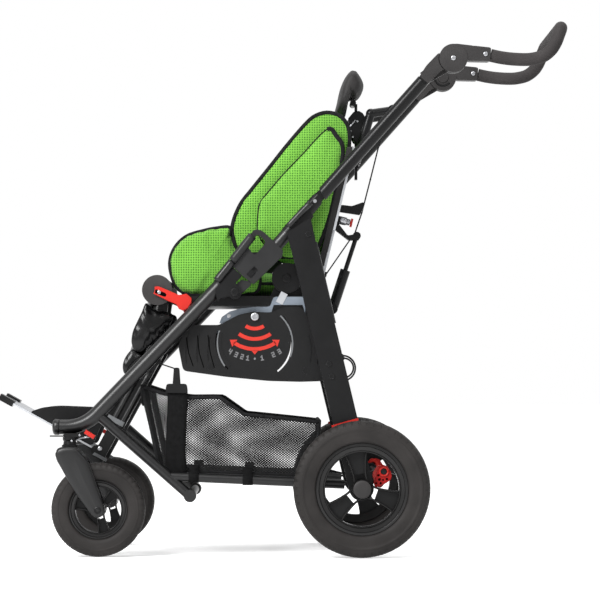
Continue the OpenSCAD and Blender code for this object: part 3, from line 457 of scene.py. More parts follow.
def tube_mesh(path, radius, sides=12, closed=False):
    """Vertices and faces of a round tube along a path in millimetres."""
    pts = [Vector(p) for p in path]
    n = len(pts)
    verts = []
    normal = None
    for i in range(n):
        ahead = pts[(i + 1) % n] if closed or i < n - 1 else pts[i]
        behind = pts[i - 1] if closed or i > 0 else pts[i]
        tangent = (ahead - behind).normalized()
        if normal is None:
            normal = tangent.orthogonal().normalized()
        normal = (normal - tangent * normal.dot(tangent)).normalized()
        side = tangent.cross(normal)
        for k in range(sides):
            a = 2 * math.pi * k / sides
            verts.append(pts[i] + radius * (math.cos(a) * normal + math.sin(a) * side))
    faces = bands(n, sides, loop=closed)
    if not closed:
        faces += [lid(0, sides), lid(n - 1, sides)]
    return verts, faces


def add_tube(name, path, radius, material, body, closed=False, sides=12):
    """A round tube that rides on a body."""
    verts, faces = tube_mesh(path, radius, sides, closed)
    return add_piece(name, verts, faces, material, body)


def add_piping(name, path, radius, body, closed=False, sides=10):
    """A round sewn edge."""
    return add_tube(name, path, radius, PIPING, body, closed, sides)


def add_pair(name, verts, faces, material, body, smooth=True, node=None):
    """A piece on each side from its points on the right, in place of a CAD node if given."""
    pair = []
    for side, sign in SIDES:
        placed = flip(verts, sign)
        obj = add_piece(f"{name}_{side}", placed, faces, material, body.format(side=side), smooth)
        if node:
            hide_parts(node.format(side=side))
        pair.append(obj)
    return pair


def add_plates(name, outline, y0, y1, material, body, edge=0.8, node=None):
    """A plate with rounded edges on each side: an outline in the side view between two depths."""
    n = len(outline)
    cx = sum(p[0] for p in outline) / n
    cz = sum(p[1] for p in outline) / n
    rows = [(y0, 1), (y0 + edge, 0), (y1 - edge, 0), (y1, 1)]
    verts = []
    for y, inset in rows:
        for x, z in outline:
            far = math.hypot(x - cx, z - cz)
            f = 1 - inset * edge / max(far, 2 * edge)
            verts.append((cx + (x - cx) * f, y, cz + (z - cz) * f))
    faces = [lid(0, n), lid(3, n)] + bands(4, n)
    add_pair(name, verts, faces, material, body, False, node)


SCREW_ROWS = ((1, 0), (1, 0.55), (0.9, 0.85), (0.72, 1))
SOCKET_ROWS = (0.98, 0.45)


def add_screws(name, at, y, radius, height, material, body, socket=0.5):
    """A domed screw head with a hexagon socket on each side, its top towards the outside."""
    n = 24
    angles = [2 * math.pi * k / n for k in range(n)]
    hexagon = [socket * math.cos(math.pi / 6) / math.cos(a % (math.pi / 3) - math.pi / 6) for a in angles]
    rows = [([r] * n, h) for r, h in SCREW_ROWS] + [(hexagon, h) for h in SOCKET_ROWS]
    verts = []
    for reach, h in rows:
        for a, r in zip(angles, reach):
            verts.append((at[0] + radius * r * math.cos(a), y + h * height, at[1] + radius * r * math.sin(a)))
    faces = bands(len(rows), n) + [lid(len(rows) - 1, n), lid(0, n)]
    add_pair(name, verts, faces, material, body, False)


DOME_ROWS = ((1, 0), (1, 0.35), (0.95, 0.62), (0.82, 0.84), (0.6, 0.96), (0.3, 1))


def add_caps(name, at, radius, height, y, material, body, steps=28):
    """A low round cap on each side that rises from a depth, inwards where its height is below zero."""
    verts = []
    for r, h in DOME_ROWS:
        for k in range(steps):
            p = along(at, 360 * k / steps, radius * r)
            verts.append((p[0], y + h * height, p[1]))
    faces = [lid(0, steps), lid(len(DOME_ROWS) - 1, steps)] + bands(len(DOME_ROWS), steps)
    add_pair(name, verts, faces, material, body)


def add_tubes(name, path, radius, material, body, closed=False, sides=12, node=None):
    """A round tube on each side."""
    for side, sign in SIDES:
        tube = add_tube(f"{name}_{side}", flip(path, sign), radius, material, body.format(side=side),
                        closed, sides)
        if node:
            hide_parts(node.format(side=side))


def tilted(centre, degrees, half_long, half_wide):
    """A rectangle in the side view, its long side at an angle."""
    corners = ((-1, -1), (1, -1), (1, 1), (-1, 1))
    return [along(centre, degrees, u * half_long, v * half_wide) for u, v in corners]


def arc_outline(centre, r0, r1, a0, a1, steps=24):
    """The outline of a ring's sector in the side view."""
    outer = [along(centre, a0 + (a1 - a0) * k / steps, r1) for k in range(steps + 1)]
    inner = [along(centre, a1 + (a0 - a1) * k / steps, r0) for k in range(steps + 1)]
    return outer + inner


# Sewn pads
PAD_ROWS = ((0.0, 1.0), (0.07, 0.972), (0.18, 0.94), (0.3, 0.9), (0.4, 0.85), (0.47, 0.78))
CROWN_ROWS = ((0.2, 0.7), (0.55, 0.54), (0.82, 0.36), (0.96, 0.18))
PAD_COUNT = 112


def pad_mesh(outline, middle, thickness, crown):
    """A crowned pad with its seam round the middle: outline points in u and v, thickness in w."""
    n = PAD_COUNT
    pts = closed_curve(outline, n)
    mid = Vector(middle)
    t = thickness / (1 + 2 * crown)
    rows = list(PAD_ROWS) + [(0.5 + crown * lift, scale) for lift, scale in CROWN_ROWS]
    levels = [(-d, s) for d, s in reversed(rows[1:])] + rows
    verts = []
    for depth, scale in levels:
        for p in pts:
            q = mid + (p - mid) * scale
            verts.append((q.x, q.y, depth * t))
    faces = bands(len(levels), n)
    low = len(verts)
    verts.append((mid.x, mid.y, -(0.5 + crown) * t))
    verts.append((mid.x, mid.y, (0.5 + crown) * t))
    top = (len(levels) - 1) * n
    for k in range(n):
        faces.append((low, (k + 1) % n, k))
        faces.append((low + 1, top + k, top + (k + 1) % n))
    seam = [(p.x, p.y, 0.0) for p in pts]
    return verts, faces, seam, (len(rows) - 1) * n


def inflate(verts, faces, seam_start, pressure, cap):
    """The pad after a short cloth simulation with air inside and its seam held."""
    mesh = bpy.data.meshes.new("inflated")
    mesh.from_pydata([Vector(v) * MM for v in verts], [], faces)
    obj = bpy.data.objects.new("inflated", mesh)
    bpy.context.scene.collection.objects.link(obj)
    group = obj.vertex_groups.new(name="seam")
    group.add(list(range(seam_start, seam_start + PAD_COUNT)), 1.0, "REPLACE")
    cloth = obj.modifiers.new("Cloth", "CLOTH")
    settings = cloth.settings
    settings.quality = 5
    settings.mass = 0.3
    settings.tension_stiffness = 25
    settings.compression_stiffness = 25
    settings.bending_stiffness = 0.4
    settings.vertex_group_mass = "seam"
    settings.use_pressure = True
    settings.uniform_pressure_force = pressure
    settings.shrink_min = -0.035
    settings.effector_weights.gravity = 0
    scene = bpy.context.scene
    for number in range(1, 19):
        scene.frame_set(number)
    shown = obj.evaluated_get(bpy.context.evaluated_depsgraph_get())
    moved = [v.co / MM for v in shown.data.vertices]
    out = []
    for start, end in zip(verts, moved):
        step = end - Vector(start)
        if step.length > cap:
            step = step * (cap / step.length)
        out.append(tuple(Vector(start) + step))
    bpy.data.objects.remove(obj)
    bpy.data.meshes.remove(mesh)
    scene.frame_set(1)
    return out


def add_pad(name, verts, faces, place, material, body, node):
    """A sewn pad that stands for a CAD solid."""
    obj = add_piece(name, [place(v) for v in verts], faces, material, body)
    smooth = obj.modifiers.new("Smooth", "SUBSURF")
    smooth.levels = 1
    smooth.render_levels = 1
    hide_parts(node)
    return obj


BOLSTER = ((-111, 716), (-140, 714), (-166, 709), (-204, 697), (-229, 674), (-241, 645), (-239, 615),
           (-226, 584), (-198, 569), (-140, 568), (-70, 569), (-46, 583), (-47, 622), (-64, 644), (-84, 653),
           (-95, 664), (-103.5, 681), (-110, 700))
WING = ((-88, 662), (-104, 698), (-103, 728), (-87, 767), (-61, 801), (-24, 847), (18, 900), (60, 948),
        (82, 964), (108, 969), (136, 958), (152, 926), on_back(250, 3), on_back(180, 3), on_back(110, 3),
        (94, 692), (40, 670), (-40, 658))
LATERAL = ((-49, 706), (-49, 740), (-44, 768), (-27, 791), (7, 831), (48, 874), (103, 930), (124, 914),
           (137, 890), on_back(226, 15), on_back(180, 15), on_back(120, 15), (88, 684), (76, 660), (46, 648),
           (14, 648), (-14, 660), (-38, 682))
SIDE_PRESSURE = 2.0
SIDE_PADS = (
    ("seat_bolster", BOLSTER, (-150, 640), 125, 163, 0.1, "seat", "seat_bolsters"),
    ("back_wing", WING, (30, 790), 131, 151, 0.06, "back", "back_wings"),
    ("lateral_pad", LATERAL, (50, 760), 152.5, 177.5, 0.1, "back", "lateral_pads"),
)


def add_binding(name, path, wide, thick, body, closed):
    """A flat bound edge along a path in the side view: wide in that view, thick across it."""
    verts, faces = tube_mesh(path, 1.0, 14, closed)
    shaped = []
    for i, v in enumerate(verts):
        centre = Vector(path[i // 14])
        step = v - centre
        shaped.append((centre.x + step.x * wide, centre.y + step.y * thick, centre.z + step.z * wide))
    return add_piece(name, shaped, faces, PIPING, body)


def opened(points):
    """Part of a closed outline as an open path, from the point after its widest gap."""
    start = max(range(len(points)), key=lambda k: (Vector(points[k]) - Vector(points[k - 1])).length)
    return points[start:] + points[:start]


for pad_name, outline, middle, y_in, y_out, crown, body, node in SIDE_PADS:
    verts, faces, seam, seam_start = pad_mesh(outline, middle, (y_out - y_in) * 0.92, crown)
    verts = inflate(verts, faces, seam_start, SIDE_PRESSURE, (y_out - y_in) * 0.06)
    y_mid = (y_in + y_out) / 2
    for side, sign in SIDES:
        place = lambda v, s=sign, y=y_mid: (v[0], s * (y + v[2]), v[1])
        add_pad(f"{pad_name}_{side}", verts, faces, place, GREEN, body, node)
        edge = [place(p) for p in seam]
        if pad_name == "back_wing":
            add_binding(f"{pad_name}_binding_{side}", edge, 4.4, 3.0, body, True)
        elif pad_name == "seat_bolster":
            front = opened([p for p in edge if not (p[0] > -108 and p[2] > 646)])
            add_binding(f"{pad_name}_binding_{side}", front, 4.2, 3.2, body, False)
        else:
            add_piping(f"{pad_name}_seam_{side}", edge, 1.3, body, closed=True, sides=8)
            rear = opened([p for p in edge if p[0] > 70 + (p[2] - 660) * 0.12 and p[2] > 664])
            add_binding(f"{pad_name}_binding_{side}", rear, 5.0, 2.6, body, False)

# Black edge of the back shell behind the side pads
SHELL = (on_back(18, 0.6), on_back(288, 0.6), on_back(284, 12), on_back(240, 13.5), on_back(40, 13.5),
         on_back(20, 9))
add_plates("back_edge", SHELL, 153, 168, PAD_BLACK, "back", 2.0)


# Seat, back and calf pads
def rectangle(half_u, half_v, corner):
    """A rectangle with cut corners, as an outline for a pad."""
    out = []
    for su, sv in ((1, 1), (-1, 1), (-1, -1), (1, -1)):
        first = (su * half_u, sv * (half_v - corner))
        mid = (su * (half_u - corner * 0.29), sv * (half_v - corner * 0.29))
        last = (su * (half_u - corner), sv * half_v)
        out += [first, mid, last] if su == sv else [last, mid, first]
        edge = (0, sv * half_v) if su == sv else (su * half_u, 0)
        out.append(edge)
    return out


def leaning(centre, lean):
    """Places a pad's u across, v up and w forward, leaning back by an angle."""
    up = direction(90 - lean)

    def place(v):
        return (centre[0] + v[1] * up[0] - v[2] * up[1], -v[0], centre[1] + v[1] * up[1] + v[2] * up[0])
    return place


CUSHION_PRESSURE = 3.0


def cushion(outline, thickness, crown, cap):
    """A pad about the origin after its cloth run: points, faces and seam."""
    verts, faces, seam, seam_start = pad_mesh(outline, (0, 0), thickness, crown)
    return inflate(verts, faces, seam_start, CUSHION_PRESSURE, cap), faces, seam


verts, faces, seam = cushion(rectangle(138, 121, 42), 51, 0.2, 4)
place_seat = lambda v: (-103 + v[0], v[1], 593 + v[2])
add_pad("seat_pad", verts, faces, place_seat, GREEN_SEAT, "seat", "seat_cushion")
add_piping("seat_pad_piping", [place_seat(p) for p in seam], 3.4, "seat", closed=True)

verts, faces, seam = cushion(rectangle(126, 158, 42), 49, 0.16, 4)
place_back = leaning(on_back(178, 27), BACK_LEAN)
add_pad("back_pad", verts, faces, place_back, GREEN_BACK, "back", "back_cushion")
add_piping("back_pad_piping", [place_back(p) for p in seam], 3.4, "back", closed=True)

verts, faces, seam = cushion(rectangle(110, 82, 34), 30, 0.16, 3)
crumpled = []
for v in verts:
    p = Vector(v) * 0.03
    lift = 2.2 * noise.noise(p) + 1.2 * noise.noise(p * 2.6 + Vector((7, 3, 1)))
    crumpled.append((v[0], v[1], v[2] + lift * (1 if v[2] > 0 else 0.2)))
place_calf = leaning((-304, 484), 18.5)
add_pad("calf_cover", crumpled, faces, place_calf, VINYL, "leg_rest", "calf_pad")
add_piping("calf_piping", [place_calf(p) for p in seam], 3.0, "leg_rest", closed=True)

# Headrest: two lobes that meet in a sewn crease
HEAD = ((122, 970), (128, 1004), (135, 1034), (147, 1060), (163, 1075), (175, 1066), (187, 1043), (183, 1024),
        (172, 1011), (155, 1010), (150, 990), (144, 970))
HEAD_HALF = 103
HEAD_STEPS = 28
head_pts = closed_curve(HEAD, 72)
head_mid = Vector((158, 1036))
verts = []
for i in range(HEAD_STEPS + 1):
    a = math.pi * (i / HEAD_STEPS - 0.5)
    width = max(0.02, math.cos(a)) ** 0.42
    for p in head_pts:
        q = head_mid + (p - head_mid) * width
        off_crease = q.x - 152 - (q.y - head_mid.y) * 0.35
        pull = 1 - 0.05 * math.exp(-(off_crease / 4.0) ** 2)
        pulled = head_mid + (q - head_mid) * pull
        verts.append((pulled.x, HEAD_HALF * math.sin(a), pulled.y))
n = len(head_pts)
faces = bands(HEAD_STEPS + 1, n) + [lid(0, n), lid(HEAD_STEPS, n)]
head = add_piece("headrest_cover", verts, faces, PAD_BLACK, "headrest")
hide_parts("headrest_pad")


# Tyres with their tread blocks
TYRE_HALF = ((0, 0.36), (0.03, 0.42), (0.1, 0.46), (0.25, 0.488), (0.45, 0.498), (0.56, 0.497), (0.58, 0.51),
             (0.645, 0.507), (0.665, 0.486), (0.76, 0.468), (0.86, 0.43), (0.93, 0.375), (0.97, 0.315),
             (0.99, 0.25), (0.998, 0.16), (1.0, 0.06))
BLOCK_PARTS = ((0.0, 0), (0.7, 0), (0.74, 1), (0.96, 1))


def tyre_mesh(radius, width, rim, blocks, groove):
    """A tyre about the Y axis: radius and width along its section, with blocks cut into both shoulders."""
    section = [(rim + f * (radius - rim), w * width, f) for f, w in TYRE_HALF]
    section += [(r, -w, f) for r, w, f in reversed(section)]
    m = len(section)
    angles = [(2 * math.pi * (b + part) / blocks, cut) for b in range(blocks) for part, cut in BLOCK_PARTS]
    verts = []
    for a, cut in angles:
        for i, (r, w, f) in enumerate(section):
            shoulder = cut if i < m // 2 else 1 - cut
            depth = groove if shoulder and 0.8 < f < 0.999 else 0.0
            verts.append(((r - depth) * math.cos(a), w, (r - depth) * math.sin(a)))
    return verts, bands(len(angles), m, loop=True)


def on_axle(verts, axle, y):
    """The points of a wheel moved to its axle on the right."""
    return [(axle[0] + v[0], y + v[1], axle[1] + v[2]) for v in verts]


def sharpen(obj, degrees):
    """Keeps edges steeper than an angle sharp."""
    mesh = obj.data
    work = bmesh.new()
    work.from_mesh(mesh)
    limit = math.radians(degrees)
    for edge in work.edges:
        edge.smooth = len(edge.link_faces) == 2 and edge.calc_face_angle() < limit
    work.to_mesh(mesh)
    work.free()


REAR_RIM = 0.677 * REAR_R
FRONT_RIM = 0.626 * FRONT_R
TYRES = (
    ("rear", REAR_AXLE, REAR_Y, tyre_mesh(REAR_R, REAR_W, REAR_RIM + 0.04, 54, 2.2)),
    ("front", FRONT_AXLE, CASTER_Y, tyre_mesh(FRONT_R, FRONT_W, FRONT_RIM + 0.04, 46, 1.2)),
)
for kind, axle, y, (verts, faces) in TYRES:
    placed = on_axle(verts, axle, y)
    for tyre in add_pair(f"{kind}_tread", placed, faces, TYRE, kind + "_wheel_{side}",
                         node=kind + "_tyre_{side}"):
        sharpen(tyre, 35)


# Basket: net walls that sag between bound edges
TOP = ((-301, 371), (-252, 356), (-201, 349), (-131, 349), (-78, 312), (86, 300))
FLOOR_FRONT = -262
FLOOR_LONG = 342
FLOOR_FRONT_Z = 186
FLOOR_REAR_Z = 172
EDGE_LONG = 387
REAR_EDGE = 291.5
BASKET_HALF = 176.5


def top_z(x):
    """Height of the basket's edge at a length."""
    for (x0, z0), (x1, z1) in zip(TOP, TOP[1:]):
        if x0 <= x <= x1:
            return z0 + (z1 - z0) * (x - x0) / (x1 - x0)
    return TOP[0][1] if x < TOP[0][0] else TOP[-1][1]


def floor_z(x):
    """Height of the basket's floor at a length."""
    return FLOOR_FRONT_Z + (x - FLOOR_FRONT) * (FLOOR_REAR_Z - FLOOR_FRONT_Z) / FLOOR_LONG


def grid(nu, nv, at):
    """A sheet of quads over u and v from 0 to 1."""
    verts = [at(i / nu, j / nv) for i in range(nu + 1) for j in range(nv + 1)]
    faces = []
    for i in range(nu):
        for j in range(nv):
            a = i * (nv + 1) + j
            faces.append((a, a + 1, a + nv + 2, a + nv + 1))
    return verts, faces


def side_wall(u, v, sign):
    """A point on a side wall of the basket: u from front to back, v from floor to edge."""
    low = FLOOR_FRONT + u * FLOOR_LONG
    high = TOP[0][0] + u * EDGE_LONG
    x = low + (high - low) * v
    z = floor_z(low) + (top_z(high) - floor_z(low)) * v
    bulge = 4 * math.sin(math.pi * v) * math.sin(math.pi * u)
    bulge += 1.5 * noise.noise(Vector((u * 6, v * 4, sign)))
    sag = 3 * math.sin(math.pi * min(1, u * 2.6)) * v * v
    return (x, sign * (BASKET_HALF + 0.6 * bulge - 3), z - 0.4 * sag - 8 * u * u * v)


def corner_panel(u, v, sign):
    """A point on the cloth panel at a front corner, just outside the side wall."""
    x, y, z = side_wall(0.03 * u, v, sign)
    return (x, y + sign * 1.2, z)


def end_wall(u, v, x_low, x_high, edge):
    """A point on the front or rear wall: u across, v from floor to edge."""
    y = (2 * u - 1) * (BASKET_HALF - 3)
    x = x_low + (x_high - x_low) * v
    bow = 5 * math.sin(math.pi * u) * math.sin(math.pi * v)
    return (x + bow * (-0.4 if x_low < 0 else -0.6), y, floor_z(x_low) + (edge - floor_z(x_low)) * v)


def front_wall(u, v):
    """A point on the front wall, whose edge dips in the middle for the leg rest."""
    dip = min(1, max(0, (0.5 - abs(u - 0.5)) / 0.14))
    return end_wall(u, v, FLOOR_FRONT, -300, 368 - 40 * dip * dip * (3 - 2 * dip))


def rear_wall(u, v):
    """A point on the rear wall."""
    return end_wall(u, v, FLOOR_FRONT + FLOOR_LONG, TOP[-1][0], REAR_EDGE)


def floor_sheet(u, v):
    """A point on the basket's floor, which sags in the middle."""
    x = FLOOR_FRONT + u * FLOOR_LONG
    y = (2 * v - 1) * (BASKET_HALF - 3)
    sag = 2.5 * math.sin(math.pi * u) * math.sin(math.pi * v)
    return (x, y, floor_z(x) + 2 - 0.8 * sag)


def strap_sheet(u, v):
    """A point on the webbing strap down the left wall."""
    return (-247 + 44 * u - 2 * math.sin(5 * v), -(180.5 + 1.2 * math.sin(math.pi * v)), 178 + 180 * v)


def thicken(obj, depth):
    """Gives a sheet its thickness."""
    solid = obj.modifiers.new("Thickness", "SOLIDIFY")
    solid.thickness = depth * MM
    solid.offset = 0


def cloth_area(verts, faces):
    """The area of a sheet of quads in square metres."""
    total = 0.0
    for a, b, c, d in faces:
        p, q, r, t = (Vector(verts[k]) * MM for k in (a, b, c, d))
        total += (q - p).cross(t - p).length / 2 + (q - r).cross(t - r).length / 2
    return total


def add_sheet(name, nu, nv, at, material, size, depth):
    """A cloth sheet of quads over u and v, given a thickness; its size in millimetres has no effect."""
    verts, faces = grid(nu, nv, at)
    obj = add_piece(name, verts, faces, material, "front_frame")
    thicken(obj, depth)
    flat = (size[0] * MM, size[1] * MM)
    area = min(cloth_area(verts, faces), flat[0] * flat[1])
    return obj


for side, sign in SIDES:
    add_sheet(f"basket_net_{side}", 48, 20, lambda u, v, s=sign: side_wall(u, v, s), NET, (392, 196), 1.0)
add_sheet("basket_net_front", 40, 20, front_wall, NET, (350, 190), 1.0)
add_sheet("basket_net_rear", 40, 20, rear_wall, NET, (352, 122), 1.0)
floor_piece = add_sheet("basket_floor_cloth", 40, 40, floor_sheet, WEBBING, (350, 345), 1.4)
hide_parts("basket")
for side, sign in SIDES:
    add_sheet(f"basket_panel_{side}", 4, 20, lambda u, v, s=sign: corner_panel(u, v, s), WEBBING, (12, 196),
              0.8)
strap = add_sheet("webbing_strap", 4, 40, strap_sheet, WEBBING, (44.2, 181), 1.6)
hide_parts("basket_strap")

# Bound edges of the basket
for side, sign in SIDES:
    edge = [side_wall(k / 60, 0.975, sign) for k in range(61)]
    add_piping(f"basket_binding_{side}", edge, 4.2, "front_frame")
    foot = [side_wall(k / 40, 0.0, sign) for k in range(41)]
    add_piping(f"basket_foot_seam_{side}", foot, 3.2, "front_frame", sides=8)
    for end, u in (("front", 0.0), ("rear", 1.0)):
        post = [side_wall(u, k / 24, sign) for k in range(25)]
        add_piping(f"basket_corner_{end}_{side}", post, 4.0, "front_frame")
add_piping("basket_binding_front", [front_wall(k / 60, 1.0) for k in range(61)], 4.2, "front_frame")
add_piping("basket_binding_rear", [rear_wall(k / 40, 1.0) for k in range(41)], 4.2, "front_frame")

# Loops that hold the basket to the rails
LOOP_STEPS = 24
LOOP_HALF = 11
LOOP_R = 11
RAIL_FRONT = (-236, 172)
RAIL_REAR = (140, 155)
for side, sign in SIDES:
    for number, x in enumerate((-187, -70, 50)):
        share = (x - RAIL_FRONT[0]) / (RAIL_REAR[0] - RAIL_FRONT[0])
        rail_z = RAIL_FRONT[1] + share * (RAIL_REAR[1] - RAIL_FRONT[1])
        verts = []
        for dx in (-LOOP_HALF, LOOP_HALF):
            for k in range(LOOP_STEPS):
                a = 2 * math.pi * k / LOOP_STEPS
                y = sign * (TUBE_Y + LOOP_R * math.cos(a))
                verts.append((x + dx, y, rail_z + LOOP_R * math.sin(a)))
        loop = add_piece(f"basket_loop_{side}_{number}", verts, bands(2, LOOP_STEPS), WEBBING, "front_frame")
        thicken(loop, 1.2)
        verts, faces = grid(2, 6, lambda u, v, s=sign, x0=x, z0=rail_z: (
            x0 + LOOP_HALF * (2 * u - 1), s * (189 - 13 * v), z0 + 2 + 24 * v))
        tab = add_piece(f"basket_tab_{side}_{number}", verts, faces, WEBBING, "front_frame")
        thicken(tab, 1.2)

# Tilt dial: printed arcs, arrowheads, pointer and figures on both panels
DIAL = (-55, 529)
DIAL_FACE = PANEL_OUT + 0.05
PRINT_THICK = 0.5
ARC_HALF = 4.0
FIGURE_R = 101
ARCS = ((36, -123, -57), (58.5, -126, -54), (80.5, -124, -56))


def add_print(name, outline):
    """A printed mark on the face of each panel."""
    add_plates(name, outline, DIAL_FACE, DIAL_FACE + PRINT_THICK, RED_MARK, "chassis", 0.1)


for number, (radius, a0, a1) in enumerate(ARCS):
    add_print(f"dial_arc_{number}", arc_outline(DIAL, radius - ARC_HALF, radius + ARC_HALF, a0, a1))
for number, (angle, way) in enumerate(((-123, -1), (-57, 1))):
    arrow = [along(DIAL, angle + way * 9, 81), along(DIAL, angle, 90), along(DIAL, angle - way, 71)]
    add_print(f"dial_arrow_{number}", arrow)
add_print("dial_pointer", [along(DIAL, -95, 84), along(DIAL, -85, 84), along(DIAL, -90, 92.5)])

FIGURES = {
    "1": ("010", "110", "010", "010", "111"),
    "2": ("111", "001", "111", "100", "111"),
    "3": ("111", "001", "111", "001", "111"),
    "4": ("101", "101", "111", "001", "001"),
}
MARKS = ((-31.9, "4"), (-23.6, "3"), (-15.9, "2"), (-8.6, "1"), (9.2, "1"), (23.6, "2"), (32.0, "3"))
FIGURE_PITCH = 2.3
FIGURE_HALF = 1.2
for side, sign in SIDES:
    y = sign * (PANEL_OUT + 0.4)
    verts = []
    faces = []
    for angle, figure in MARKS:
        centre = along(DIAL, -90 + angle, FIGURE_R)
        for row, line in enumerate(FIGURES[figure]):
            for column, bit in enumerate(line):
                if bit == "0":
                    continue
                local = turn(((column - 1) * FIGURE_PITCH, (2 - row) * FIGURE_PITCH), angle)
                x = centre[0] - sign * local[0]
                z = centre[1] + local[1]
                faces.append(lid(0, 4, len(verts)))
                for dx, dz in ((-1, -1), (1, -1), (1, 1), (-1, 1)):
                    verts.append((x + dx * FIGURE_HALF, y, z + dz * FIGURE_HALF))
    faces.append(lid(0, 16, len(verts)))
    for k in range(16):
        p = along(along(DIAL, -90, FIGURE_R + 0.5), 360 * k / 16, 2.4)
        verts.append((p[0], y, p[1]))
    figures = add_piece(f"dial_figures_{side}", verts, faces, GREY_MARK, "chassis", smooth=False)
    thicken(figures, 0.4)

# Screws, bolts and the hip tabs
add_screws("tilt_bolt", TILT_PIVOT, PANEL_OUT + 3, 9, 3.5, STEEL, "chassis", socket=0.4)
add_screws("bar_screw", BAR_PIVOT, TUBE_Y + BAR_HALF, 5.5, 2.2, STEEL, "push_bar")
add_screws("fold_bolt", (-98, 572), TUBE_Y + 22, 9, 3, SATIN, "chassis")
add_screws("hip_screw", RECLINE, HIP_OUT, 10, 3, SATIN, "back")
for number, at in enumerate(((106, 417), (112, 389), (61, 697))):
    add_screws(f"leg_screw_{number}", at, LEG_OUT + 2.5, 6, 1.5, SATIN, "chassis")
add_plates("hip_tab", tilted((4, 560), 62, 13, 8), HIP_OUT, HIP_OUT + 1.5, ALLOY, "back", 0.4)

# Push bar: arm rivets and the ring round each button
for number, way in enumerate((1, -1)):
    y = TUBE_Y + BAR_HALF * way
    add_caps(f"arm_rivet_{number}", (447, 1090), 5.0, 1.8 * way, y, STEEL, "push_bar")
button_ring = [along(BAR_PIVOT, 40 + 280 * k / 40, 19.5) for k in range(41)]
button_path = [(x, TUBE_Y - 17.2, z) for x, z in button_ring]
add_tubes("button_ring", button_path, 2.2, SATIN, "push_bar", sides=8)


# Wheel rims: a beaded ring, a hub and pairs of curved ribs
def add_ring(verts, faces, profile, steps=96):
    """Adds a closed section of radius and width turned about the Y axis."""
    faces.extend(bands(steps, len(profile), len(verts), loop=True))
    for k in range(steps):
        a = 2 * math.pi * k / steps
        for r, y in profile:
            verts.append((r * math.cos(a), y, r * math.sin(a)))


def add_bar(verts, faces, rows, angle):
    """Adds a bar through rows of points, each a radius, an offset and a width, turned to an angle."""
    start = len(verts)
    n = len(rows[0])
    for row in rows:
        for r, offset, y in row:
            x, z = turn((r, offset), angle)
            verts.append((x, y, z))
    faces.extend(bands(len(rows), n, start))
    faces.append(lid(0, n, start))
    faces.append(lid(len(rows) - 1, n, start))


def rim_mesh(rim_r, open_r, hub_r, hub_half, bore, w, angles, rows, web_from, closed_hub):
    """A spoked rim about the Y axis, its outer face towards positive Y."""
    verts = []
    faces = []
    bead = 0.335 * w
    deep = rim_r - open_r
    add_ring(verts, faces, [
        (open_r, -0.30 * w), (rim_r - 2, -0.34 * w), (rim_r, -0.32 * w), (rim_r, 0.33 * w),
        (rim_r - 1, 0.345 * w), (rim_r - 0.28 * deep, 0.35 * w), (rim_r - 0.34 * deep, 0.335 * w),
        (rim_r - 0.4 * deep, 0.29 * w),
        (open_r + 0.22 * deep, 0.28 * w), (open_r + 0.18 * deep, bead - 1), (open_r + 0.12 * deep, bead),
        (open_r + 0.05 * deep, bead - 0.3), (open_r, bead - 1.6)])
    hub = [(bore, -hub_half), (hub_r, -hub_half)]
    if closed_hub:
        hub += [(hub_r, hub_half - 3), (hub_r - 2.5, hub_half), (0.02, hub_half), (0.02, hub_half - 4),
                (bore, hub_half - 4)]
    else:
        hub += [(hub_r, hub_half - 1.5), (hub_r - 1.5, hub_half), (bore, hub_half)]
    add_ring(verts, faces, hub, 48)
    half = 0.0425 * w
    edge = 0.028 * w
    low = -0.12 * w
    high = 0.24 * w
    section = ((-half, low), (half, low), (half, high - edge), (half - edge, high), (edge - half, high),
               (-half, high - edge))
    for angle in angles:
        for m in (-1, 1):
            rib = [[(r, m * off + step, y) for step, y in section] for r, off in rows]
            add_bar(verts, faces, rib, angle)
        web = [[(r, -off, -0.1 * w), (r, off, -0.1 * w), (r, off, 0.01 * w), (r, -off, 0.01 * w)]
               for r, off in rows if r >= web_from]
        add_bar(verts, faces, web, angle)
    return verts, faces


REAR_ROWS = ((19, 13.6), (26, 13.0), (33, 13.2), (45, 14.8), (59, 17.4), (70, 20.4), (80.6, 24.2))
FRONT_ROWS = ((13.5, 8.4), (20, 7.6), (28, 7.8), (38, 9.0), (50.5, 12.0))
REAR_SIZES = (REAR_RIM, 0.54 * REAR_R, 21, 24, 6.2, REAR_W)
FRONT_SIZES = (FRONT_RIM, 0.488 * FRONT_R, 15, 25.5, 5.2, FRONT_W)
# Radii of the painted shade on the rear and front spoke webs
REAR_WEB = (24, 0.53 * REAR_R)
FRONT_WEB = (17, 0.478 * FRONT_R)
SPOKES = {"rear_left": (100, 220, 340), "rear_right": (55, 175, 295), "front_left": (285, 45, 165),
          "front_right": (285, 45, 165)}
RIMS = (
    ("rear", REAR_AXLE, REAR_Y, REAR_SIZES, REAR_ROWS, 33, True, REAR_WEB),
    ("front", FRONT_AXLE, CASTER_Y, FRONT_SIZES, FRONT_ROWS, 20, False, FRONT_WEB),
)
for side, sign in SIDES:
    for kind, axle, y, sizes, rows, web_from, closed_hub, reach in RIMS:
        verts, faces = rim_mesh(*sizes, SPOKES[f"{kind}_{side}"], rows, web_from, closed_hub)
        placed = flip(on_axle(verts, axle, y), sign)
        spoked = add_piece(f"{kind}_spokes_{side}", placed, faces, WHEEL, f"{kind}_wheel_{side}")
        sharpen(spoked, 32)
        # The web and the lower sides of the ribs take the darker black finish: painted shade in the recess
        # between each spoke's ribs.
        second_finish(spoked, BLACK, lambda c, p=axle, face=y + 0.02 * sizes[-1], web=reach: (
            abs(c.y) < face and web[0] < math.hypot(c.x - p[0], c.z - p[1]) < web[1]))
        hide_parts(f"{kind}_rim_{side}")

